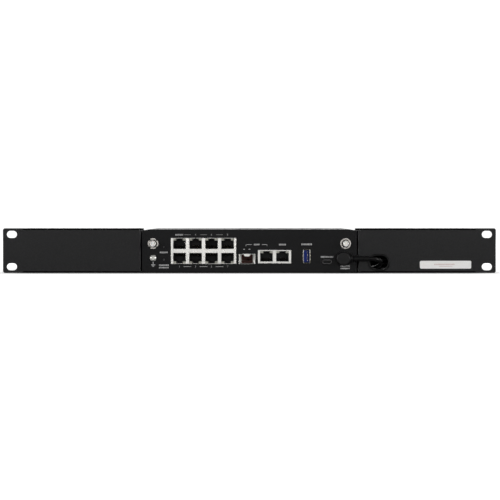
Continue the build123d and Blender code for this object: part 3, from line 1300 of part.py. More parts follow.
def make_lead_hank():
    """Outer shape of the folded rest of the lead, and the tie round its middle."""
    with BuildPart() as hank:
        with BuildSketch(Plane.XY.offset(HANK_BOTTOM)):
            with Locations(HANK_CENTRE):
                SlotOverall(HANK_RUN + 2 * HANK_HALF_WIDTH, 2 * HANK_HALF_WIDTH)
        extrude(amount=HANK_TOP - HANK_BOTTOM)
    save(hank, "power_lead_hank")
    x = ends(HANK_CENTRE[0], TIE_WIDTH / 2)
    with BuildPart() as tie:
        block(x, ends(HANK_CENTRE[1], HANK_HALF_WIDTH + TIE_THICKNESS), (BASE_TOP, HANK_TOP + TIE_THICKNESS))
        fillet(tie.edges().filter_by(Axis.X), TIE_THICKNESS)
        block(x, ends(HANK_CENTRE[1], HANK_HALF_WIDTH), (HANK_BOTTOM, HANK_TOP), Mode.SUBTRACT)
    save(tie, "hank_tie")


make_rack_tray()
make_cable_grommet()
make_wing_sticker()
make_rear_clamps()
make_adapter_brackets()
make_tray_screws()
make_lower_chassis()
make_top_cover()
make_cover_screws()
make_rear_bezel()
make_light_pipes()
make_rubber_feet()
make_gangs()
make_sfp_cage()
make_sfp_connector()
make_usb_port()
make_console_port()
make_power_jack()
make_aerial_jack("aerial_jack_left", -AERIAL_X)
make_aerial_jack("aerial_jack_right", AERIAL_X)
make_aerial_fittings()
make_earth_screw()
make_buttons()
make_main_board()
make_board_fixings()
make_processor()
make_board_parts()
make_radio_card()
make_aerial_lead("aerial_lead_left", LEFT_AERIAL_ROUTE)
make_aerial_lead("aerial_lead_right", RIGHT_AERIAL_ROUTE)
make_adapter_half("adapter_case_lower", BASE_TOP, ADAPTER_SEAM)
make_adapter_half("adapter_case_upper", ADAPTER_SEAM, BASE_TOP + ADAPTER_HEIGHT)
make_adapter_inlet()
make_adapter_circuit()
make_adapter_relief()
make_power_plug()
make_lead_tube("power_lead_front", FRONT_ROUTE)
make_lead_hank()
make_lead_tube("power_lead_rear", REAR_ROUTE)
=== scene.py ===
"""Firewall appliance in its rack tray: looks, free power lead, printed marks, light and camera."""

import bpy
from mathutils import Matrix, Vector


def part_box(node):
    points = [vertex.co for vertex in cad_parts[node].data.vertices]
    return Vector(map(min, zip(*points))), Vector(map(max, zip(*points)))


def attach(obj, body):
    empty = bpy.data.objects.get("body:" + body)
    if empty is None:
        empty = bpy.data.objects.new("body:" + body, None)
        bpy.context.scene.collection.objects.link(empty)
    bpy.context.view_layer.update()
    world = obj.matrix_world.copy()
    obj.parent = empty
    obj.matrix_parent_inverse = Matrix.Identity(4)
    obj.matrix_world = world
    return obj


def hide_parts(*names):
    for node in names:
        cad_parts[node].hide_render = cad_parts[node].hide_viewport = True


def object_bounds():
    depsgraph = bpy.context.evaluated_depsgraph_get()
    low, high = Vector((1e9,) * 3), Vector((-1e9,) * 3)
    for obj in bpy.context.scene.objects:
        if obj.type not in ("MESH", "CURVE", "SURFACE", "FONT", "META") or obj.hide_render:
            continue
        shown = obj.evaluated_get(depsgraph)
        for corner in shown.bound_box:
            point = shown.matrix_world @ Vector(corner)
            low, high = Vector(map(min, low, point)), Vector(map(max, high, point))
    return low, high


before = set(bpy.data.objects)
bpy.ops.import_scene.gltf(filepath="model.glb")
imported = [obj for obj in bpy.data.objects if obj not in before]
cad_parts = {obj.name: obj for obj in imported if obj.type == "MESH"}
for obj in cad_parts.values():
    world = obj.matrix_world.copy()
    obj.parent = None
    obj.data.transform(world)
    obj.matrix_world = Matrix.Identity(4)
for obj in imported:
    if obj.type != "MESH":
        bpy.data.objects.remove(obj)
cad_box = [list(corner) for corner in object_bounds()]

import math
import random

import bmesh
import bpy
from mathutils import Vector

MM = 0.001
BODY = "appliance"

# Noise values between which a colour or a gloss goes from one end of its range to the other.
COLOUR_SPAN = (0.35, 0.65)
GLOSS_SPAN = (0.3, 0.7)
# How much of a colour's noise is fine speckle. The rest is broad patches.
SPECKLE_SHARE = 0.6
# Sharp edges lightened as rubbed-off paint and as a painted highlight: how wide, the agreement of normals
# that counts as an edge, how strong.
EDGE_MASK_RADIUS = 0.0005
EDGE_MASK_SPAN = (0.995, 0.8)
WEAR_AND_HIGHLIGHT_STRENGTH = 0.7
# Painted shade round the aerial jacks, where the nuts' cones and threads lie in shade: how soft its end is,
# and how much of the colour it keeps.
RING_SOFTNESS = 0.0003
RING_SHADE = 0.16
# The bent edges of the tray's front, blackened with painted shade: where they start up, end across and end
# in depth, in metres.
BEND_UP = (0.0200, 0.0206)
BEND_ACROSS = (0.2212, 0.2222)
BEND_BACK = (0.0015, 0.0030)
BEND_PAINTED_SHADE = (0.0006, 0.0006, 0.0006)
# Tracks on a circuit board: their brightness against its light colour, and how far they show through.
TRACK_BRIGHTNESS = 1.9
TRACK_STRENGTH = 0.5


# ---------------------------------------------------------------- node helpers

def add_node(tree, kind, inputs=None, **settings):
    """One shader node, with settings, and inputs given by value or by the socket that feeds them."""
    made = tree.nodes.new(kind)
    for key, value in settings.items():
        setattr(made, key, value)
    for key, value in (inputs or {}).items():
        if isinstance(value, bpy.types.NodeSocket):
            tree.links.new(value, made.inputs[key])
        else:
            made.inputs[key].default_value = value
    return made


def place(tree, stretch=(1, 1, 1)):
    """Texture place in metres on the piece itself, stretched for a grain that runs one way."""
    where = add_node(tree, "ShaderNodeTexCoord").outputs["Object"]
    return add_node(tree, "ShaderNodeMapping", {"Vector": where, "Scale": stretch}).outputs["Vector"]


def noise(tree, where, scale, detail=2.0, rough=0.5):
    """Noise from 0 to 1 with a number of cells to the metre."""
    inputs = {"Vector": where, "Scale": scale, "Detail": detail, "Roughness": rough}
    return add_node(tree, "ShaderNodeTexNoise", inputs).outputs["Fac"]


def remap(tree, value, source, target):
    """A value moved from the source range to the target range, and kept in it."""
    inputs = {
        "Value": value, "From Min": source[0], "From Max": source[1],
        "To Min": target[0], "To Max": target[1],
    }
    return add_node(tree, "ShaderNodeMapRange", inputs).outputs["Result"]


def maths(tree, operation, a, b):
    return add_node(tree, "ShaderNodeMath", {0: a, 1: b}, operation=operation).outputs[0]


def blend_colour(tree, factor, a, b):
    made = add_node(tree, "ShaderNodeMix", data_type="RGBA")
    for key, value in ((0, factor), (6, a), (7, b)):
        if isinstance(value, bpy.types.NodeSocket):
            tree.links.new(value, made.inputs[key])
        elif key == 0:
            made.inputs[key].default_value = value
        else:
            made.inputs[key].default_value = (*value, 1.0)
    return made.outputs[2]


def start_material(name, sockets):
    """A material with one Principled shader whose uniform values are set on its own sockets."""
    material = bpy.data.materials.new(name)
    material.use_nodes = True
    shader = material.node_tree.nodes["Principled BSDF"]
    for key, value in sockets.items():
        shader.inputs[key].default_value = value
    return material, material.node_tree, shader


def edge_mask(tree):
    """1 along the piece's sharp edges and 0 on its flats."""
    rounded = add_node(tree, "ShaderNodeBevel", {"Radius": EDGE_MASK_RADIUS}, samples=4).outputs["Normal"]
    flat = add_node(tree, "ShaderNodeNewGeometry").outputs["Normal"]
    dot = add_node(tree, "ShaderNodeVectorMath", {0: rounded, 1: flat}, operation="DOT_PRODUCT")
    return remap(tree, dot.outputs["Value"], EDGE_MASK_SPAN, (0.0, 1.0))


def aerial_distance(tree):
    """Distance from the axis of the nearer aerial jack, the same on the left and the right."""
    low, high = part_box("aerial_jack_right")
    centre = (low + high) / 2
    where = add_node(tree, "ShaderNodeTexCoord").outputs["Object"]
    parts = add_node(tree, "ShaderNodeSeparateXYZ", {"Vector": where}).outputs
    across = maths(tree, "SUBTRACT", maths(tree, "ABSOLUTE", parts["X"], 0.0), centre.x)
    up = maths(tree, "SUBTRACT", parts["Z"], centre.z)
    flat = add_node(tree, "ShaderNodeCombineXYZ", {"X": across, "Y": up})
    length = add_node(tree, "ShaderNodeVectorMath", {0: flat.outputs[0]}, operation="LENGTH")
    return length.outputs["Value"]


def painted_bend_shade_mask(tree):
    """Mask of painted shade: 1 on the bent top and bottom edges of the tray's front, between its ears, and 0
    elsewhere.
    """
    where = add_node(tree, "ShaderNodeTexCoord").outputs["Object"]
    parts = add_node(tree, "ShaderNodeSeparateXYZ", {"Vector": where}).outputs
    up = remap(tree, maths(tree, "ABSOLUTE", parts["Z"], 0.0), BEND_UP, (0.0, 1.0))
    across = remap(tree, maths(tree, "ABSOLUTE", parts["X"], 0.0), BEND_ACROSS, (1.0, 0.0))
    front = remap(tree, parts["Y"], BEND_BACK, (1.0, 0.0))
    return maths(tree, "MULTIPLY", maths(tree, "MULTIPLY", up, across), front)


def surface(name, dark, light, roughness, grain, mottle=24.0, speckle=900.0, stretch=(1, 1, 1),
            edge_wear_and_highlight=None, rounded=None, painted_ring_shade=None, painted_bend_shade=False, **sockets):
    """Painted, moulded or plated finish: patchy and speckled colour, uneven gloss, grain in relief.

    dark and light are the ends of the colour, and roughness those of the gloss. mottle, speckle and the
    first number of grain are cells to the metre, and grain's second is its depth in metres. worn is the
    colour that shows on sharp edges, as rubbed-off paint and as a painted highlight, rounded the radius
    that softens them, painted_ring_shade the radius round the aerial jacks inside which painted shade
    darkens the colour, and painted_bend_shade blackens the bent edges of the tray's front with painted
    shade.
    """
    material, tree, shader = start_material(name, sockets)
    where = place(tree, stretch)
    patches = noise(tree, where, mottle, detail=3.0)
    fine = noise(tree, where, speckle, rough=0.6)
    mixed = maths(tree, "MULTIPLY_ADD", fine, SPECKLE_SHARE)
    tree.links.new(maths(tree, "MULTIPLY", patches, 1 - SPECKLE_SHARE), mixed.node.inputs[2])
    colour = blend_colour(tree, remap(tree, mixed, COLOUR_SPAN, (0.0, 1.0)), dark, light)
    gloss = remap(tree, patches, GLOSS_SPAN, roughness)
    # Sharp edges lightened: partly rubbed-off paint, partly a painted highlight.
    if edge_wear_and_highlight:
        wear_and_highlight_share = maths(tree, "MULTIPLY", edge_mask(tree), WEAR_AND_HIGHLIGHT_STRENGTH)
        colour = blend_colour(tree, wear_and_highlight_share, colour, edge_wear_and_highlight)
    # Painted shade: the nuts' colour darkened within a radius of the aerial jacks' axes.
    if painted_ring_shade:
        span = (painted_ring_shade, painted_ring_shade + RING_SOFTNESS)
        inside = remap(tree, aerial_distance(tree), span, (1.0, 0.0))
        colour = blend_colour(tree, inside, colour, tuple(RING_SHADE * c for c in dark))
    # Painted shade: the bent edges of the tray's front blackened, and made metallic there so they take no
    # diffuse light.
    if painted_bend_shade:
        mask = painted_bend_shade_mask(tree)
        colour = blend_colour(tree, mask, colour, BEND_PAINTED_SHADE)
        tree.links.new(mask, shader.inputs["Metallic"])
    tree.links.new(colour, shader.inputs["Base Color"])
    tree.links.new(gloss, shader.inputs["Roughness"])
    cells_per_metre, depth = grain
    relief = {"Height": noise(tree, where, cells_per_metre), "Distance": depth}
    if rounded:
        soft = add_node(tree, "ShaderNodeBevel", {"Radius": rounded}, samples=6)
        relief["Normal"] = soft.outputs["Normal"]
    bump = add_node(tree, "ShaderNodeBump", relief)
    tree.links.new(bump.outputs["Normal"], shader.inputs["Normal"])
    return material


# ---------------------------------------------------------------- finishes

# The tray's and the case's sharp edges are lightened, partly as rubbed-off paint and partly as a painted
# highlight; the tray's bent front edges are blackened with painted shade.
tray_coat = surface(
    "tray_coat", (0.0070, 0.0070, 0.0075), (0.0125, 0.0125, 0.0133), (0.32, 0.44), (950.0, 0.00006),
    speckle=700.0, edge_wear_and_highlight=(0.032, 0.032, 0.034), painted_bend_shade=True, **{"Specular IOR Level": 0.24},
)
case_coat = surface(
    "case_coat", (0.0048, 0.0049, 0.0053), (0.0085, 0.0086, 0.0093), (0.30, 0.42), (1500.0, 0.00003),
    speckle=1100.0, edge_wear_and_highlight=(0.030, 0.030, 0.032), **{"Specular IOR Level": 0.13},
)
rubber = surface(
    "grommet_rubber", (0.0025, 0.0025, 0.0026), (0.0055, 0.0055, 0.0056), (0.46, 0.62), (2200.0, 0.00004),
    **{"Specular IOR Level": 0.2},
)
sticker_film = surface(
    "sticker", (0.91, 0.90, 0.885), (0.96, 0.95, 0.94), (0.38, 0.5), (1800.0, 0.00001), mottle=60.0,
    **{"Specular IOR Level": 0.4},
)
zinc = surface(
    "zinc_steel", (0.46, 0.46, 0.43), (0.68, 0.68, 0.65), (0.22, 0.36), (2600.0, 0.00002), mottle=220.0,
    rounded=0.0003, Metallic=1.0,
)
bezel_plastic = surface(
    "bezel_plastic", (0.012, 0.0125, 0.0135), (0.021, 0.0215, 0.023), (0.44, 0.6), (1300.0, 0.00006),
    **{"Specular IOR Level": 0.4},
)
nickel = surface(
    "port_nickel", (0.66, 0.65, 0.62), (0.80, 0.79, 0.76), (0.22, 0.34), (420.0, 0.00002), mottle=130.0,
    speckle=1600.0, stretch=(1, 1, 0.25), rounded=0.0003, Metallic=1.0,
)
usb_nickel = surface(
    "usb_nickel", (0.62, 0.61, 0.59), (0.76, 0.75, 0.73), (0.14, 0.2), (420.0, 0.00002), mottle=130.0,
    speckle=1600.0, stretch=(1, 1, 0.25), rounded=0.0007, Metallic=1.0,
)
# A darker copy of the ports' nickel: painted shade for the console port, set back in the face's opening.
shaded_nickel = surface(
    "console_nickel", (0.13, 0.13, 0.13), (0.20, 0.20, 0.20), (0.34, 0.48), (900.0, 0.00002), mottle=260.0,
    Metallic=1.0,
)
cage_plastic = surface(
    "cage_plastic", (0.16, 0.06, 0.045), (0.24, 0.09, 0.07), (0.4, 0.55), (1900.0, 0.00003),
    **{"Specular IOR Level": 0.3},
)
port_plastic = surface(
    "port_plastic", (0.003, 0.003, 0.0032), (0.006, 0.006, 0.0064), (0.34, 0.5), (1900.0, 0.00003),
    **{"Specular IOR Level": 0.25},
)
gold = surface(
    "contact_gold", (0.52, 0.34, 0.13), (0.66, 0.46, 0.20), (0.16, 0.3), (3000.0, 0.00001), mottle=300.0,
    Metallic=1.0,
)
usb_blue = surface(
    "usb_blue", (0.0008, 0.009, 0.10), (0.0012, 0.015, 0.16), (0.3, 0.42), (2400.0, 0.00002),
    **{"Specular IOR Level": 0.2},
)
aerial_nickel = surface(
    "aerial_nickel", (0.50, 0.48, 0.45), (0.76, 0.74, 0.71), (0.16, 0.3), (1500.0, 0.00003), mottle=260.0,
    rounded=0.0002, Metallic=1.0,
)
# Its colour is darkened by painted shade within 3.7 mm of the aerial jacks' axes.
nut_nickel = surface(
    "nut_nickel", (0.36, 0.34, 0.32), (0.56, 0.54, 0.51), (0.2, 0.34), (1500.0, 0.00003), mottle=260.0,
    rounded=0.0002, painted_ring_shade=0.0037, Metallic=1.0,
)
insulator = surface(
    "insulator", (0.84, 0.83, 0.80), (0.94, 0.93, 0.91), (0.35, 0.5), (2500.0, 0.00002),
    **{"Subsurface Weight": 0.1, "Subsurface Scale": 0.0005},
)
button_plastic = surface(
    "button_plastic", (0.10, 0.10, 0.105), (0.16, 0.16, 0.165), (0.4, 0.52), (2200.0, 0.00003),
)
chip_plastic = surface(
    "chip_plastic", (0.014, 0.014, 0.015), (0.028, 0.028, 0.029), (0.5, 0.66), (3200.0, 0.00003),
)
pad = surface(
    "pad", (0.32, 0.36, 0.42), (0.42, 0.46, 0.52), (0.7, 0.85), (1500.0, 0.00005),
)
aluminium = surface(
    "sink_aluminium", (0.60, 0.60, 0.61), (0.80, 0.80, 0.81), (0.26, 0.42), (1800.0, 0.00002),
    mottle=90.0, stretch=(1, 0.05, 1), Metallic=1.0,
)
cell_steel = surface(
    "cell_steel", (0.62, 0.62, 0.60), (0.78, 0.78, 0.76), (0.2, 0.34), (900.0, 0.00001), mottle=150.0,
    Metallic=1.0,
)
adapter_plastic = surface(
    "adapter_plastic", (0.011, 0.011, 0.0115), (0.020, 0.020, 0.021), (0.46, 0.62), (1100.0, 0.00009),
    speckle=800.0, **{"Specular IOR Level": 0.42},
)
lead_jacket = surface(
    "lead_jacket", (0.0016, 0.0016, 0.0017), (0.0032, 0.0032, 0.0035), (0.26, 0.4), (1700.0, 0.00003),
    mottle=70.0, **{"Specular IOR Level": 0.26},
)
ink = surface(
    "face_print", (0.42, 0.42, 0.42), (0.56, 0.56, 0.56), (0.5, 0.62), (2600.0, 0.00001), speckle=2500.0,
)
dim_ink = surface(
    "face_numbers", (0.27, 0.27, 0.27), (0.36, 0.36, 0.36), (0.5, 0.62), (2600.0, 0.00001), speckle=2500.0,
)
faint_ink = surface(
    "sticker_print", (0.62, 0.46, 0.45), (0.74, 0.60, 0.58), (0.5, 0.62), (2600.0, 0.00001), speckle=2500.0,
)
label_film = surface(
    "adapter_label_film", (0.34, 0.34, 0.345), (0.42, 0.42, 0.425), (0.4, 0.55), (1500.0, 0.00001),
    mottle=50.0,
)
label_ink = surface(
    "adapter_label_ink", (0.03, 0.03, 0.03), (0.06, 0.06, 0.06), (0.5, 0.62), (2600.0, 0.00001),
    speckle=2500.0,
)


def make_frosted():
    """Milky clear plastic of the light pipes and of the sockets' windows, patchy inside."""
    sockets = {"Transmission Weight": 0.35, "IOR": 1.49, "Specular IOR Level": 0.5}
    material, tree, shader = start_material("clear_plastic", sockets)
    where = place(tree)
    haze = remap(tree, noise(tree, where, 700.0, detail=3.0), COLOUR_SPAN, (0.0, 1.0))
    colour = blend_colour(tree, haze, (0.40, 0.40, 0.33), (0.58, 0.57, 0.50))
    tree.links.new(colour, shader.inputs["Base Color"])
    gloss = remap(tree, noise(tree, where, 900.0), GLOSS_SPAN, (0.25, 0.45))
    tree.links.new(gloss, shader.inputs["Roughness"])
    height = noise(tree, where, 1800.0)
    bump = add_node(tree, "ShaderNodeBump", {"Height": height, "Distance": 0.00002})
    tree.links.new(bump.outputs["Normal"], shader.inputs["Normal"])
    return material


def make_board(name, dark, light):
    """Solder mask with brighter raised tracks under it and small bare pads."""
    material, tree, shader = start_material(name, {"Specular IOR Level": 0.5})
    where = place(tree)
    cells = add_node(
        tree, "ShaderNodeTexVoronoi", {"Vector": where, "Scale": 220.0, "Randomness": 0.55},
        feature="DISTANCE_TO_EDGE",
    ).outputs["Distance"]
    tracks = remap(tree, cells, (0.02, 0.07), (1.0, 0.0))
    mask = blend_colour(tree, noise(tree, where, 40.0), dark, light)
    raised = tuple(TRACK_BRIGHTNESS * c for c in light)
    lit = blend_colour(tree, maths(tree, "MULTIPLY", tracks, TRACK_STRENGTH), mask, raised)
    spots = add_node(
        tree, "ShaderNodeTexVoronoi", {"Vector": where, "Scale": 310.0, "Randomness": 0.8},
    ).outputs["Distance"]
    pads = remap(tree, spots, (0.12, 0.16), (1.0, 0.0))
    tree.links.new(blend_colour(tree, pads, lit, (0.62, 0.60, 0.56)), shader.inputs["Base Color"])
    gloss = remap(tree, noise(tree, where, 120.0), GLOSS_SPAN, (0.28, 0.42))
    tree.links.new(gloss, shader.inputs["Roughness"])
    bump = add_node(tree, "ShaderNodeBump", {"Height": tracks, "Distance": 0.00005})
    tree.links.new(bump.outputs["Normal"], shader.inputs["Normal"])
    return material


def make_woven():
    """Woven hook-and-loop strap: crossing threads with a soft pile."""
    sockets = {"Sheen Weight": 0.35, "Sheen Roughness": 0.5, "Specular IOR Level": 0.2}
    material, tree, shader = start_material("tie_fabric", sockets)
    where = place(tree)
    warp = add_node(
        tree, "ShaderNodeTexWave", {"Vector": where, "Scale": 320.0, "Distortion": 0.6}, bands_direction="X",
    ).outputs["Fac"]
    weft = add_node(
        tree, "ShaderNodeTexWave", {"Vector": where, "Scale": 260.0, "Distortion": 0.6}, bands_direction="Y",
    ).outputs["Fac"]
    threads = maths(tree, "MULTIPLY", warp, weft)
    pile = noise(tree, where, 2600.0, detail=4.0, rough=0.7)
    height = maths(tree, "ADD", threads, pile)
    share = remap(tree, height, (0.4, 1.4), (0.0, 1.0))
    colour = blend_colour(tree, share, (0.010, 0.010, 0.011), (0.05, 0.05, 0.053))
    tree.links.new(colour, shader.inputs["Base Color"])
    tree.links.new(remap(tree, pile, GLOSS_SPAN, (0.75, 0.95)), shader.inputs["Roughness"])
    bump = add_node(tree, "ShaderNodeBump", {"Height": height, "Distance": 0.0001})
    tree.links.new(bump.outputs["Normal"], shader.inputs["Normal"])
    return material


clear_plastic = make_frosted()
green_board = make_board("circuit_board", (0.004, 0.030, 0.014), (0.008, 0.048, 0.022))
brown_board = make_board("adapter_board", (0.11, 0.06, 0.02), (0.16, 0.09, 0.035))
woven = make_woven()

FINISHES = {
    tray_coat: ("rack_tray", "rear_clamps", "adapter_brackets"),
    case_coat: ("lower_chassis", "top_cover"),
    rubber: ("cable_grommet", "rubber_feet", "power_plug_relief", "adapter_relief"),
    sticker_film: ("wing_sticker",),
    zinc: ("tray_screws", "cover_screws", "board_fixings", "earth_screw"),
    bezel_plastic: ("rear_bezel",),
    clear_plastic: ("light_pipes",),
    nickel: ("lan_jack_shield", "wan_jack_shield", "sfp_cage"),
    usb_nickel: ("usb_port_shell", "usb_port_contacts"),
    shaded_nickel: ("console_port_shell",),
    cage_plastic: ("sfp_connector",),
    port_plastic: (
        "lan_jack_housing", "wan_jack_housing", "console_port_tongue", "power_jack_body",
        "card_socket", "adapter_inlet", "button_switches",
    ),
    gold: ("lan_jack_contacts", "wan_jack_contacts", "adapter_inlet_pins"),
    usb_blue: ("usb_port_tongue",),
    aerial_nickel: ("aerial_jack_left", "aerial_jack_right", "power_jack_pin", "power_plug_barrel"),
    nut_nickel: ("aerial_nuts",),
    insulator: ("aerial_cores",),
    button_plastic: ("reset_button", "default_button"),
    green_board: ("main_board", "radio_card"),
    chip_plastic: ("processor", "board_chips", "power_parts"),
    pad: ("thermal_pad",),
    aluminium: ("heatsink",),
    cell_steel: ("clock_cell",),
    adapter_plastic: ("adapter_case_lower", "adapter_case_upper"),
    brown_board: ("adapter_circuit",),
    lead_jacket: ("aerial_lead_left", "aerial_lead_right", "power_plug_body"),
}
for material, names in FINISHES.items():
    for name in names:
        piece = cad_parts[name]
        piece.data.materials.clear()
        piece.data.materials.append(material)


def new_piece(name, mesh, material):
    """A new visible mesh that rides on the appliance, with the given material."""
    piece = bpy.data.objects.new(name, mesh)
    bpy.context.scene.collection.objects.link(piece)
    mesh.materials.append(material)
    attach(piece, BODY)
    return piece


# ---------------------------------------------------------------- power lead

# Places and sizes are in millimetres. The routes' points and turns are those of the CAD's power lead.
LEAD_DIAMETER = 4.0
FIRST_ROW = -17.85
ROW_PITCH = 4.0
FRONT_ROUTE = (
    (116.5, -7.2, -7.8), (123.6, -7.2, -7.8), (128.6, -3.0, -10.2), (128.6, 2.4, -14.0),
    (124.2, 7.4, -16.6), (120.4, 15.6, -17.7), (118.7, 26.4, FIRST_ROW), (119.0, 38.0, FIRST_ROW),
)
LAST_ROW = FIRST_ROW + 3 * ROW_PITCH
REAR_ROUTE = (
    (133.0, 60.0, LAST_ROW), (149.0, 60.6, -5.9), (163.5, 66.2, -7.0),
    (174.5, 75.0, -7.0), (179.0, 84.0, -5.2), (179.0, 92.0, -4.65),
)
HANK_CENTRE = (166.0, 46.0)
HANK_HALF_RUN = 33.0
OUTER_COLUMN, INNER_COLUMN = 14.0, 10.0
# Each turn's column and row, from the plug's end; the last is only a quarter turn.
HANK_TURNS = [
    (column, FIRST_ROW + row * ROW_PITCH) for row in range(3) for column in (OUTER_COLUMN, INNER_COLUMN)
] + [(INNER_COLUMN, LAST_ROW), (OUTER_COLUMN, LAST_ROW)]
FOLD_STEPS = 6
CROSSING_REACH = 8.0

# The strap round the hank, in metres. Its first end and the points of its lapped end are given along its top
# from the middle, and the lapped end's points with their rise over the first end too.
TIE_THICKNESS = 0.0008
TIE_CLOTH = 0.9 * TIE_THICKNESS
TIE_SIDE_ROOM = 0.0003
TIE_CORNER, TIE_CORNER_STEPS = 0.0028, 6
TIE_ACROSS = 4
TIE_FIRST_END = -0.004
TIE_LAP = ((0.009, 0.0002), (0.001, TIE_THICKNESS), (-0.010, TIE_THICKNESS))


def fold(side, column, row):
    """Control points round one fold, clockwise from above; side is -1 at the left and +1 at the right."""
    step = math.pi / FOLD_STEPS
    radius = column / math.cos(step / 2)
    points = []
    for i in range(FOLD_STEPS):
        angle = side * math.pi / 2 - (i + 0.5) * step
        points.append((
            HANK_CENTRE[0] + side * HANK_HALF_RUN + radius * math.cos(angle),
            HANK_CENTRE[1] + radius * math.sin(angle),
            row,
        ))
    return points


def hank_route():
    """Control points of the folded turns. Each turn crosses to the next column or row under the tie."""
    points = []
    near_fold = HANK_HALF_RUN - 2 * INNER_COLUMN * math.tan(math.pi / FOLD_STEPS / 2)
    for i, (column, row) in enumerate(HANK_TURNS):
        left = fold(-1, column, row)
        points += left[FOLD_STEPS // 2:] if i == 0 else left
        if i == len(HANK_TURNS) - 1:
            break
        rear = HANK_CENTRE[1] + column
        points += [(HANK_CENTRE[0] + side * near_fold, rear, row) for side in (-1, 1)]
        points += fold(1, column, row)
        next_column, next_row = HANK_TURNS[i + 1]
        for x, distance, z in (
            (near_fold, column, row), (CROSSING_REACH, column, row),
            (-CROSSING_REACH, next_column, next_row), (-near_fold, next_column, next_row),
        ):
            points.append((HANK_CENTRE[0] + x, HANK_CENTRE[1] - distance, z))
    return points


def make_power_lead():
    """The lead as one open curve, from the adapter's end to the plug."""
    route = [*FRONT_ROUTE, *hank_route(), *REAR_ROUTE][::-1]
    curve = bpy.data.curves.new("power_lead", "CURVE")
    curve.dimensions = "3D"
    curve.resolution_u = 8
    curve.bevel_depth = LEAD_DIAMETER / 2 * MM
    curve.bevel_resolution = 5
    curve.use_fill_caps = True
    spline = curve.splines.new("NURBS")
    spline.points.add(len(route) - 1)
    for point, (x, y, z) in zip(spline.points, route):
        point.co = (x * MM, y * MM, z * MM, 1.0)
    spline.order_u = 3
    spline.use_endpoint_u = True
    lead = bpy.data.objects.new("power_lead", curve)
    bpy.context.scene.collection.objects.link(lead)
    curve.materials.append(lead_jacket)
    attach(lead, BODY)
    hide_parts("power_lead_front", "power_lead_hank", "power_lead_rear")
    return lead


def make_hank_tie():
    """Hook-and-loop strap round the hank, its end lapped over itself on top."""
    low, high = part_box("hank_tie")
    middle = (low.x + high.x) / 2
    half_width = (high.x - low.x) / 2 - TIE_SIDE_ROOM
    inset = TIE_THICKNESS / 2
    y0, y1, z0, z1 = low.y + inset, high.y - inset, low.z + inset, high.z - inset
    top = (y0 + y1) / 2
    # From the strap's first end on top round the four corners, then over the first end and on past it.
    path = [(top + TIE_FIRST_END, z1)]
    for cy, cz, start in (
        (y0 + TIE_CORNER, z1 - TIE_CORNER, 90), (y0 + TIE_CORNER, z0 + TIE_CORNER, 180),
        (y1 - TIE_CORNER, z0 + TIE_CORNER, 270), (y1 - TIE_CORNER, z1 - TIE_CORNER, 0),
    ):
        for k in range(TIE_CORNER_STEPS + 1):
            angle = math.radians(start + 90 * k / TIE_CORNER_STEPS)
            path.append((cy + TIE_CORNER * math.cos(angle), cz + TIE_CORNER * math.sin(angle)))
    path += [(top + along, z1 + rise) for along, rise in TIE_LAP]
    mesh = bpy.data.meshes.new("hank_tie_strap")
    bm = bmesh.new()
    rows = []
    for y, z in path:
        rows.append([
            bm.verts.new((middle + half_width * (2 * j / TIE_ACROSS - 1), y, z))
            for j in range(TIE_ACROSS + 1)
        ])
    for first, second in zip(rows, rows[1:]):
        for j in range(TIE_ACROSS):
            bm.faces.new((first[j], first[j + 1], second[j + 1], second[j]))
    bmesh.ops.recalc_face_normals(bm, faces=bm.faces)
    bm.to_mesh(mesh)
    bm.free()
    strap = new_piece("hank_tie_strap", mesh, woven)
    solid = strap.modifiers.new("thickness", "SOLIDIFY")
    solid.thickness = TIE_CLOTH
    solid.offset = 0.0
    soft = strap.modifiers.new("soft_edges", "SUBSURF")
    soft.levels = soft.render_levels = 2
    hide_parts("hank_tie")
    return strap


lead = make_power_lead()
strap = make_hank_tie()


# ---------------------------------------------------------------- printed marks (in millimetres)

FACE_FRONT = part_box("lower_chassis")[0].y / MM
INK_THICKNESS = 0.04
LINE = 0.35
WORD_GAP = 0.3
BLOCK_WIDTHS = (0.38, 0.62)
FONT_CAP_HEIGHT = 0.7

JACK_PITCH = 15.7
GANG_COLUMNS = 4
UPPER_MARKS_RISE, LOWER_MARKS_DROP = 3.0, 2.5
NUMBER_HEIGHT = 1.9
UPPER_RULE_HALF, LOWER_RULE_HALF = 3.3, 3.8
GANG_WORD_HALF, GANG_WORD_HEIGHT = 3.9, 1.5

# Mark over the fibre cage and the jack beside it: a word between two arms that end in a tick.
BRACKET_Z = 5.9
BRACKET_TICK = 1.6
CAGE_ARM = (4.8, -1.0)
JACK_ARM = (-4.5, 0.5)
CAGE_MARK_SHIFTS = (-3.0, 2.4)
CAGE_MARK_HALF = 0.8
CAGE_MARK_Z = (0.9, 1.7)

# Earth symbol: a stem over three bars, each shorter than the one above.
EARTH_GAP = 0.5
EARTH_STEM = 2.6
EARTH_HALF_STROKE = 0.25
EARTH_BAR_REACHES = (2.0, 1.35, 0.7)
EARTH_FIRST_BAR, EARTH_BAR_PITCH = 2.8, 0.95

# The node that each word is set by, its shift across from that node's middle, half its width, the height
# of its middle, and the height of its letters. The blocks are drawn at random in this order.
FACE_WORDS = (
    ("reset_button", 0.0, 3.9, -1.8, 1.5),
    ("reset_button", 0.0, 4.8, -14.3, 1.4),
    ("reset_button", 0.0, 4.8, -16.7, 1.4),
    ("sfp_cage", 9.5, 2.7, BRACKET_Z, 1.5),
    ("wan_jack_shield", JACK_PITCH / 2, 3.5, BRACKET_Z, 1.5),
    ("usb_port_shell", 0.0, 5.1, BRACKET_Z + 0.2, 1.6),
    ("console_port_shell", 0.0, 6.0, -6.2, 1.6),
    ("power_jack_body", 2.4, 4.7, -15.0, 1.4),
    ("power_jack_body", 2.4, 4.7, -17.5, 1.4),
)

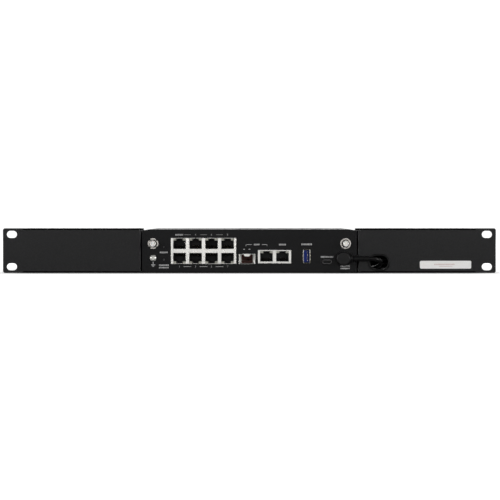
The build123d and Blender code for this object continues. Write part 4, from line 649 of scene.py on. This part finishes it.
# Extent across and height from the sticker's middle, and height of the letters.
STICKER_LINES = (((-11.0, 9.0), 0.4, 1.1), ((-6.0, 7.0), -1.5, 0.8))

LABEL_HALF_X, LABEL_HALF_Y = 21.0, 31.0
LABEL_THICKNESS = 0.06
LABEL_CORNER, LABEL_CORNER_STEPS = 2.0, 5
LABEL_LINES = 12
LABEL_LINE_HEIGHT, LABEL_LINE_PITCH = 1.5, 3.4
LABEL_END_MARGIN, LABEL_SIDE_MARGIN = 5.0, 3.0
LABEL_RAGGED_END = (2.0, 18.0)
LABEL_BLOCK_WIDTHS, LABEL_WORD_GAP = (0.8, 2.4), 0.7
LABEL_PRINT_RISE = 0.02

draw = random.Random(7)


def box_mm(name):
    return tuple(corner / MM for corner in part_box(name))


def middle_x(name):
    low, high = box_mm(name)
    return (low.x + high.x) / 2


def outline(x, y):
    """Corners of a rectangle from its low and high values, anticlockwise."""
    return (x[0], y[0]), (x[1], y[0]), (x[1], y[1]), (x[0], y[1])


def around(middle, half):
    return middle - half, middle + half


def bar(bm, x, z, front=FACE_FRONT):
    """Thin printed rectangle on a plane that faces the front; x and z are low and high."""
    near, far = (
        [bm.verts.new((cx * MM, y * MM, cz * MM)) for cx, cz in outline(x, z)]
        for y in (front - INK_THICKNESS, front)
    )
    bm.faces.new(near)
    for i in range(4):
        bm.faces.new((near[i - 1], near[i], far[i], far[i - 1])[::-1])


def word(bm, x, z, height, front=FACE_FRONT):
    """Row of plain blocks in place of a printed word."""
    left = x[0]
    while left < x[1] - WORD_GAP * height:
        width = height * draw.uniform(*BLOCK_WIDTHS)
        bar(bm, (left, min(left + width, x[1])), around(z, height / 2), front)
        left += width + WORD_GAP * height


def digit(bm, text, x, z):
    """One of the numbers on the port face."""
    curve = bpy.data.curves.new("digit", "FONT")
    curve.body = text
    curve.size = NUMBER_HEIGHT * MM / FONT_CAP_HEIGHT
    curve.align_x = "CENTER"
    curve.align_y = "CENTER"
    curve.extrude = INK_THICKNESS / 2 * MM
    shape = bpy.data.objects.new("digit", curve)
    mesh = bpy.data.meshes.new_from_object(shape)
    first = len(bm.verts)
    bm.from_mesh(mesh)
    bm.verts.ensure_lookup_table()
    for vert in bm.verts[first:]:
        across, up, out = vert.co
        vert.co = (x * MM + across, (FACE_FRONT - INK_THICKNESS / 2) * MM - out, z * MM + up)
    bpy.data.objects.remove(shape)
    bpy.data.curves.remove(curve)
    bpy.data.meshes.remove(mesh)


def finish_marks(bm, name, material):
    mesh = bpy.data.meshes.new(name)
    bm.to_mesh(mesh)
    bm.free()
    new_piece(name, mesh, material)


def gang_marks():
    """Places across of the gang's columns, and the heights of the marks above and below it."""
    low, high = box_mm("lan_jack_shield")
    centre = (low.x + high.x) / 2
    columns = [centre + (i - (GANG_COLUMNS - 1) / 2) * JACK_PITCH for i in range(GANG_COLUMNS)]
    return columns, high.z + UPPER_MARKS_RISE, low.z - LOWER_MARKS_DROP


def make_face_marks():
    """Words as blocks, rules under the gang, the earth symbol and the marks over the fibre cage."""
    bm = bmesh.new()
    columns, upper, lower = gang_marks()
    word(bm, around(columns[0], GANG_WORD_HALF), upper, GANG_WORD_HEIGHT)
    for x in columns[:-1]:
        bar(bm, around(x + JACK_PITCH / 2, LOWER_RULE_HALF), around(lower, LINE / 2))
    for node, shift, half, z, height in FACE_WORDS:
        word(bm, around(middle_x(node) + shift, half), z, height)

    x = middle_x("earth_screw")
    top = box_mm("earth_screw")[0].z - EARTH_GAP
    bar(bm, around(x, EARTH_HALF_STROKE), (top - EARTH_STEM, top))
    for i, reach in enumerate(EARTH_BAR_REACHES):
        z = top - EARTH_FIRST_BAR - EARTH_BAR_PITCH * i
        bar(bm, around(x, reach), around(z, EARTH_HALF_STROKE))

    cage = middle_x("sfp_cage")
    for shift in CAGE_MARK_SHIFTS:
        bar(bm, around(cage + shift, CAGE_MARK_HALF), CAGE_MARK_Z)
    jack = middle_x("wan_jack_shield") - JACK_PITCH / 2
    for x, (near, end) in ((cage, CAGE_ARM), (jack, JACK_ARM)):
        bar(bm, sorted((x + near, x + end)), around(BRACKET_Z, LINE / 2))
        bar(bm, around(x + end, LINE / 2), (BRACKET_Z - BRACKET_TICK, BRACKET_Z + LINE / 2))
    finish_marks(bm, "face_marks", ink)


def make_face_numbers():
    """Numbers of the gang's sockets, and the thin rules between those of the upper row."""
    bm = bmesh.new()
    columns, upper, lower = gang_marks()
    for text, x in zip("468", columns[1:]):
        digit(bm, text, x, upper)
    for text, x in zip("1357", columns):
        digit(bm, text, x, lower)
    for x in columns[:-1]:
        bar(bm, around(x + JACK_PITCH / 2, UPPER_RULE_HALF), around(upper, LINE / 2))
    finish_marks(bm, "face_numbers", dim_ink)


def make_sticker_marks():
    """Faint blocks on the wing's sticker in place of its print."""
    bm = bmesh.new()
    low, high = box_mm("wing_sticker")
    x, z = (low.x + high.x) / 2, (low.z + high.z) / 2
    for (left, right), rise, height in STICKER_LINES:
        word(bm, (x + left, x + right), z + rise, height, low.y)
    finish_marks(bm, "sticker_marks", faint_ink)


def make_adapter_label():
    """Plain label on the adapter's top, with blank blocks in place of its print."""
    low, high = box_mm("adapter_case_upper")
    x, y = (low.x + high.x) / 2, (low.y + high.y) / 2
    top = high.z + LABEL_THICKNESS
    bm = bmesh.new()
    lower, upper = (
        [bm.verts.new((cx * MM, cy * MM, z * MM))
         for cx, cy in outline(around(x, LABEL_HALF_X), around(y, LABEL_HALF_Y))]
        for z in (high.z, top)
    )
    bm.faces.new(upper)
    for i in range(4):
        bm.faces.new((lower[i - 1], lower[i], upper[i], upper[i - 1]))
    upright = [
        edge for edge in bm.edges
        if abs(edge.verts[0].co.z - edge.verts[1].co.z) > LABEL_THICKNESS * MM / 2
    ]
    bmesh.ops.bevel(
        bm, geom=upright, offset=LABEL_CORNER * MM, segments=LABEL_CORNER_STEPS, affect="EDGES",
    )
    finish_marks(bm, "adapter_label", label_film)

    bm = bmesh.new()
    for i in range(LABEL_LINES):
        along = y + LABEL_HALF_Y - LABEL_END_MARGIN - i * LABEL_LINE_PITCH
        left = x - LABEL_HALF_X + LABEL_SIDE_MARGIN
        end = x + LABEL_HALF_X - LABEL_SIDE_MARGIN - draw.uniform(*LABEL_RAGGED_END)
        while left < end:
            width = LABEL_LINE_HEIGHT * draw.uniform(*LABEL_BLOCK_WIDTHS)
            block = outline((left, min(left + width, end)), around(along, LABEL_LINE_HEIGHT / 2))
            bm.faces.new([
                bm.verts.new((cx * MM, cy * MM, (top + LABEL_PRINT_RISE) * MM)) for cx, cy in block
            ])
            left += width + LABEL_WORD_GAP
    finish_marks(bm, "adapter_label_print", label_ink)


make_face_marks()
make_face_numbers()
make_sticker_marks()
make_adapter_label()


# ---------------------------------------------------------------- stage, light and camera (in metres)

FLOOR_RADIUS = 40.0
FLOOR_GAP = 0.0001
# Brightness of the floor that the piece reflects, and the distances from the origin where it changes.
FLOOR_LEVELS, FLOOR_DISTANCES = (0.10, 0.95), (0.5, 1.3)
# The contact shadow's reach in metres, and the power that deepens it.
SHADOW_REACH, SHADOW_POWER = 0.05, 2.6

# Brightness of what the piece reflects, from low down to high up, with the heights where it changes.
AHEAD_LEVELS, AHEAD_HEIGHTS = (0.32, 0.08), (0.1, 0.4)
BEHIND_LEVELS, BEHIND_HEIGHTS = (0.76, 0.38), (0.2, 1.0)
AHEAD_TO_BEHIND = (-0.3, 0.4)
WHITE = 1.1

LIGHT_AIM = (0.0, 0.1, 0.0)
# Name, place, width and height, power in watts.
LIGHTS = (
    ("front", (0.0, -2.5, 0.2), (3.2, 0.5), 9.5),
    ("left", (-2.2, -1.7, 0.4), (1.2, 1.0), 34.0),
    ("right", (2.2, -1.7, 0.4), (1.2, 1.0), 34.0),
    ("rear", (0.5, 2.2, 1.6), (2.4, 1.2), 60.0),
)

CAMERA_PLACE = (0.0006, -2.0, 0.035)
CAMERA_AIM = (0.0006, 0.0, 0.00055)
CAMERA_LENS, CAMERA_SENSOR = 147.0, 36.0
CAMERA_CLIP = (0.05, 100.0)


def make_floor():
    """White floor with a soft contact shadow. Reflected rays see it dim near the piece, bright far off."""
    mesh = bpy.data.meshes.new("floor")
    bm = bmesh.new()
    bmesh.ops.create_circle(bm, cap_ends=True, segments=96, radius=FLOOR_RADIUS)
    bm.to_mesh(mesh)
    bm.free()
    floor = bpy.data.objects.new("floor", mesh)
    floor.location = (0.0, 0.0, cad_box[0][2] - FLOOR_GAP)
    bpy.context.scene.collection.objects.link(floor)
    sockets = {
        "Base Color": (0.3, 0.3, 0.3, 1.0), "Roughness": 0.9, "Specular IOR Level": 0.0,
        "Emission Color": (1.0, 1.0, 1.0, 1.0), "Emission Strength": 0.0,
    }
    material, tree, shader = start_material("floor", sockets)
    where = add_node(tree, "ShaderNodeTexCoord").outputs["Object"]
    distance = add_node(tree, "ShaderNodeVectorMath", {0: where}, operation="LENGTH").outputs["Value"]
    glow = remap(tree, distance, FLOOR_DISTANCES, FLOOR_LEVELS)
    unseen = add_node(tree, "ShaderNodeEmission", {"Strength": glow})
    shade = add_node(tree, "ShaderNodeAmbientOcclusion", {"Distance": SHADOW_REACH}, samples=8)
    strength = maths(tree, "POWER", shade.outputs["AO"], SHADOW_POWER)
    tree.links.new(strength, shader.inputs["Emission Strength"])
    seen = add_node(tree, "ShaderNodeLightPath").outputs["Is Camera Ray"]
    both = add_node(tree, "ShaderNodeMixShader", {0: seen, 1: unseen.outputs[0], 2: shader.outputs[0]})
    tree.links.new(both.outputs[0], tree.nodes["Material Output"].inputs["Surface"])
    mesh.materials.append(material)


def make_world():
    """White to the camera. The piece reflects it bright behind, dimmer in front and darkest overhead."""
    world = bpy.data.worlds.new("studio")
    bpy.context.scene.world = world
    world.use_nodes = True
    tree = world.node_tree
    where = add_node(tree, "ShaderNodeTexCoord").outputs["Generated"]
    parts = add_node(tree, "ShaderNodeSeparateXYZ", {"Vector": where}).outputs
    ahead = remap(tree, parts["Z"], AHEAD_HEIGHTS, AHEAD_LEVELS)
    behind = remap(tree, parts["Z"], BEHIND_HEIGHTS, BEHIND_LEVELS)
    share = remap(tree, parts["Y"], AHEAD_TO_BEHIND, (0.0, 1.0))
    change = maths(tree, "MULTIPLY", maths(tree, "SUBTRACT", behind, ahead), share)
    level = maths(tree, "ADD", ahead, change)
    seen = add_node(tree, "ShaderNodeLightPath").outputs["Is Camera Ray"]
    strength = maths(tree, "MAXIMUM", maths(tree, "MULTIPLY", seen, WHITE), level)
    background = tree.nodes["Background"]
    background.inputs["Color"].default_value = (1.0, 1.0, 1.0, 1.0)
    tree.links.new(strength, background.inputs["Strength"])


def aim_at(holder, place_at, aim):
    """Puts a lamp or the camera in the scene and turns it towards its aim."""
    holder.location = place_at
    holder.rotation_mode = "QUATERNION"
    holder.rotation_quaternion = (Vector(aim) - holder.location).to_track_quat("-Z", "Y")
    bpy.context.scene.collection.objects.link(holder)


def make_light(name, place_at, size, power):
    light = bpy.data.lights.new(name, "AREA")
    light.shape = "RECTANGLE"
    light.size, light.size_y = size
    light.energy = power
    aim_at(bpy.data.objects.new(name, light), place_at, LIGHT_AIM)


def make_camera():
    camera = bpy.data.cameras.new("camera")
    camera.lens = CAMERA_LENS
    camera.sensor_width = CAMERA_SENSOR
    camera.clip_start, camera.clip_end = CAMERA_CLIP
    holder = bpy.data.objects.new("camera", camera)
    aim_at(holder, CAMERA_PLACE, CAMERA_AIM)
    bpy.context.scene.camera = holder


make_floor()
make_world()
for light in LIGHTS:
    make_light(*light)
make_camera()
settings = bpy.context.scene.view_settings
settings.view_transform = "Standard"
settings.look = "None"
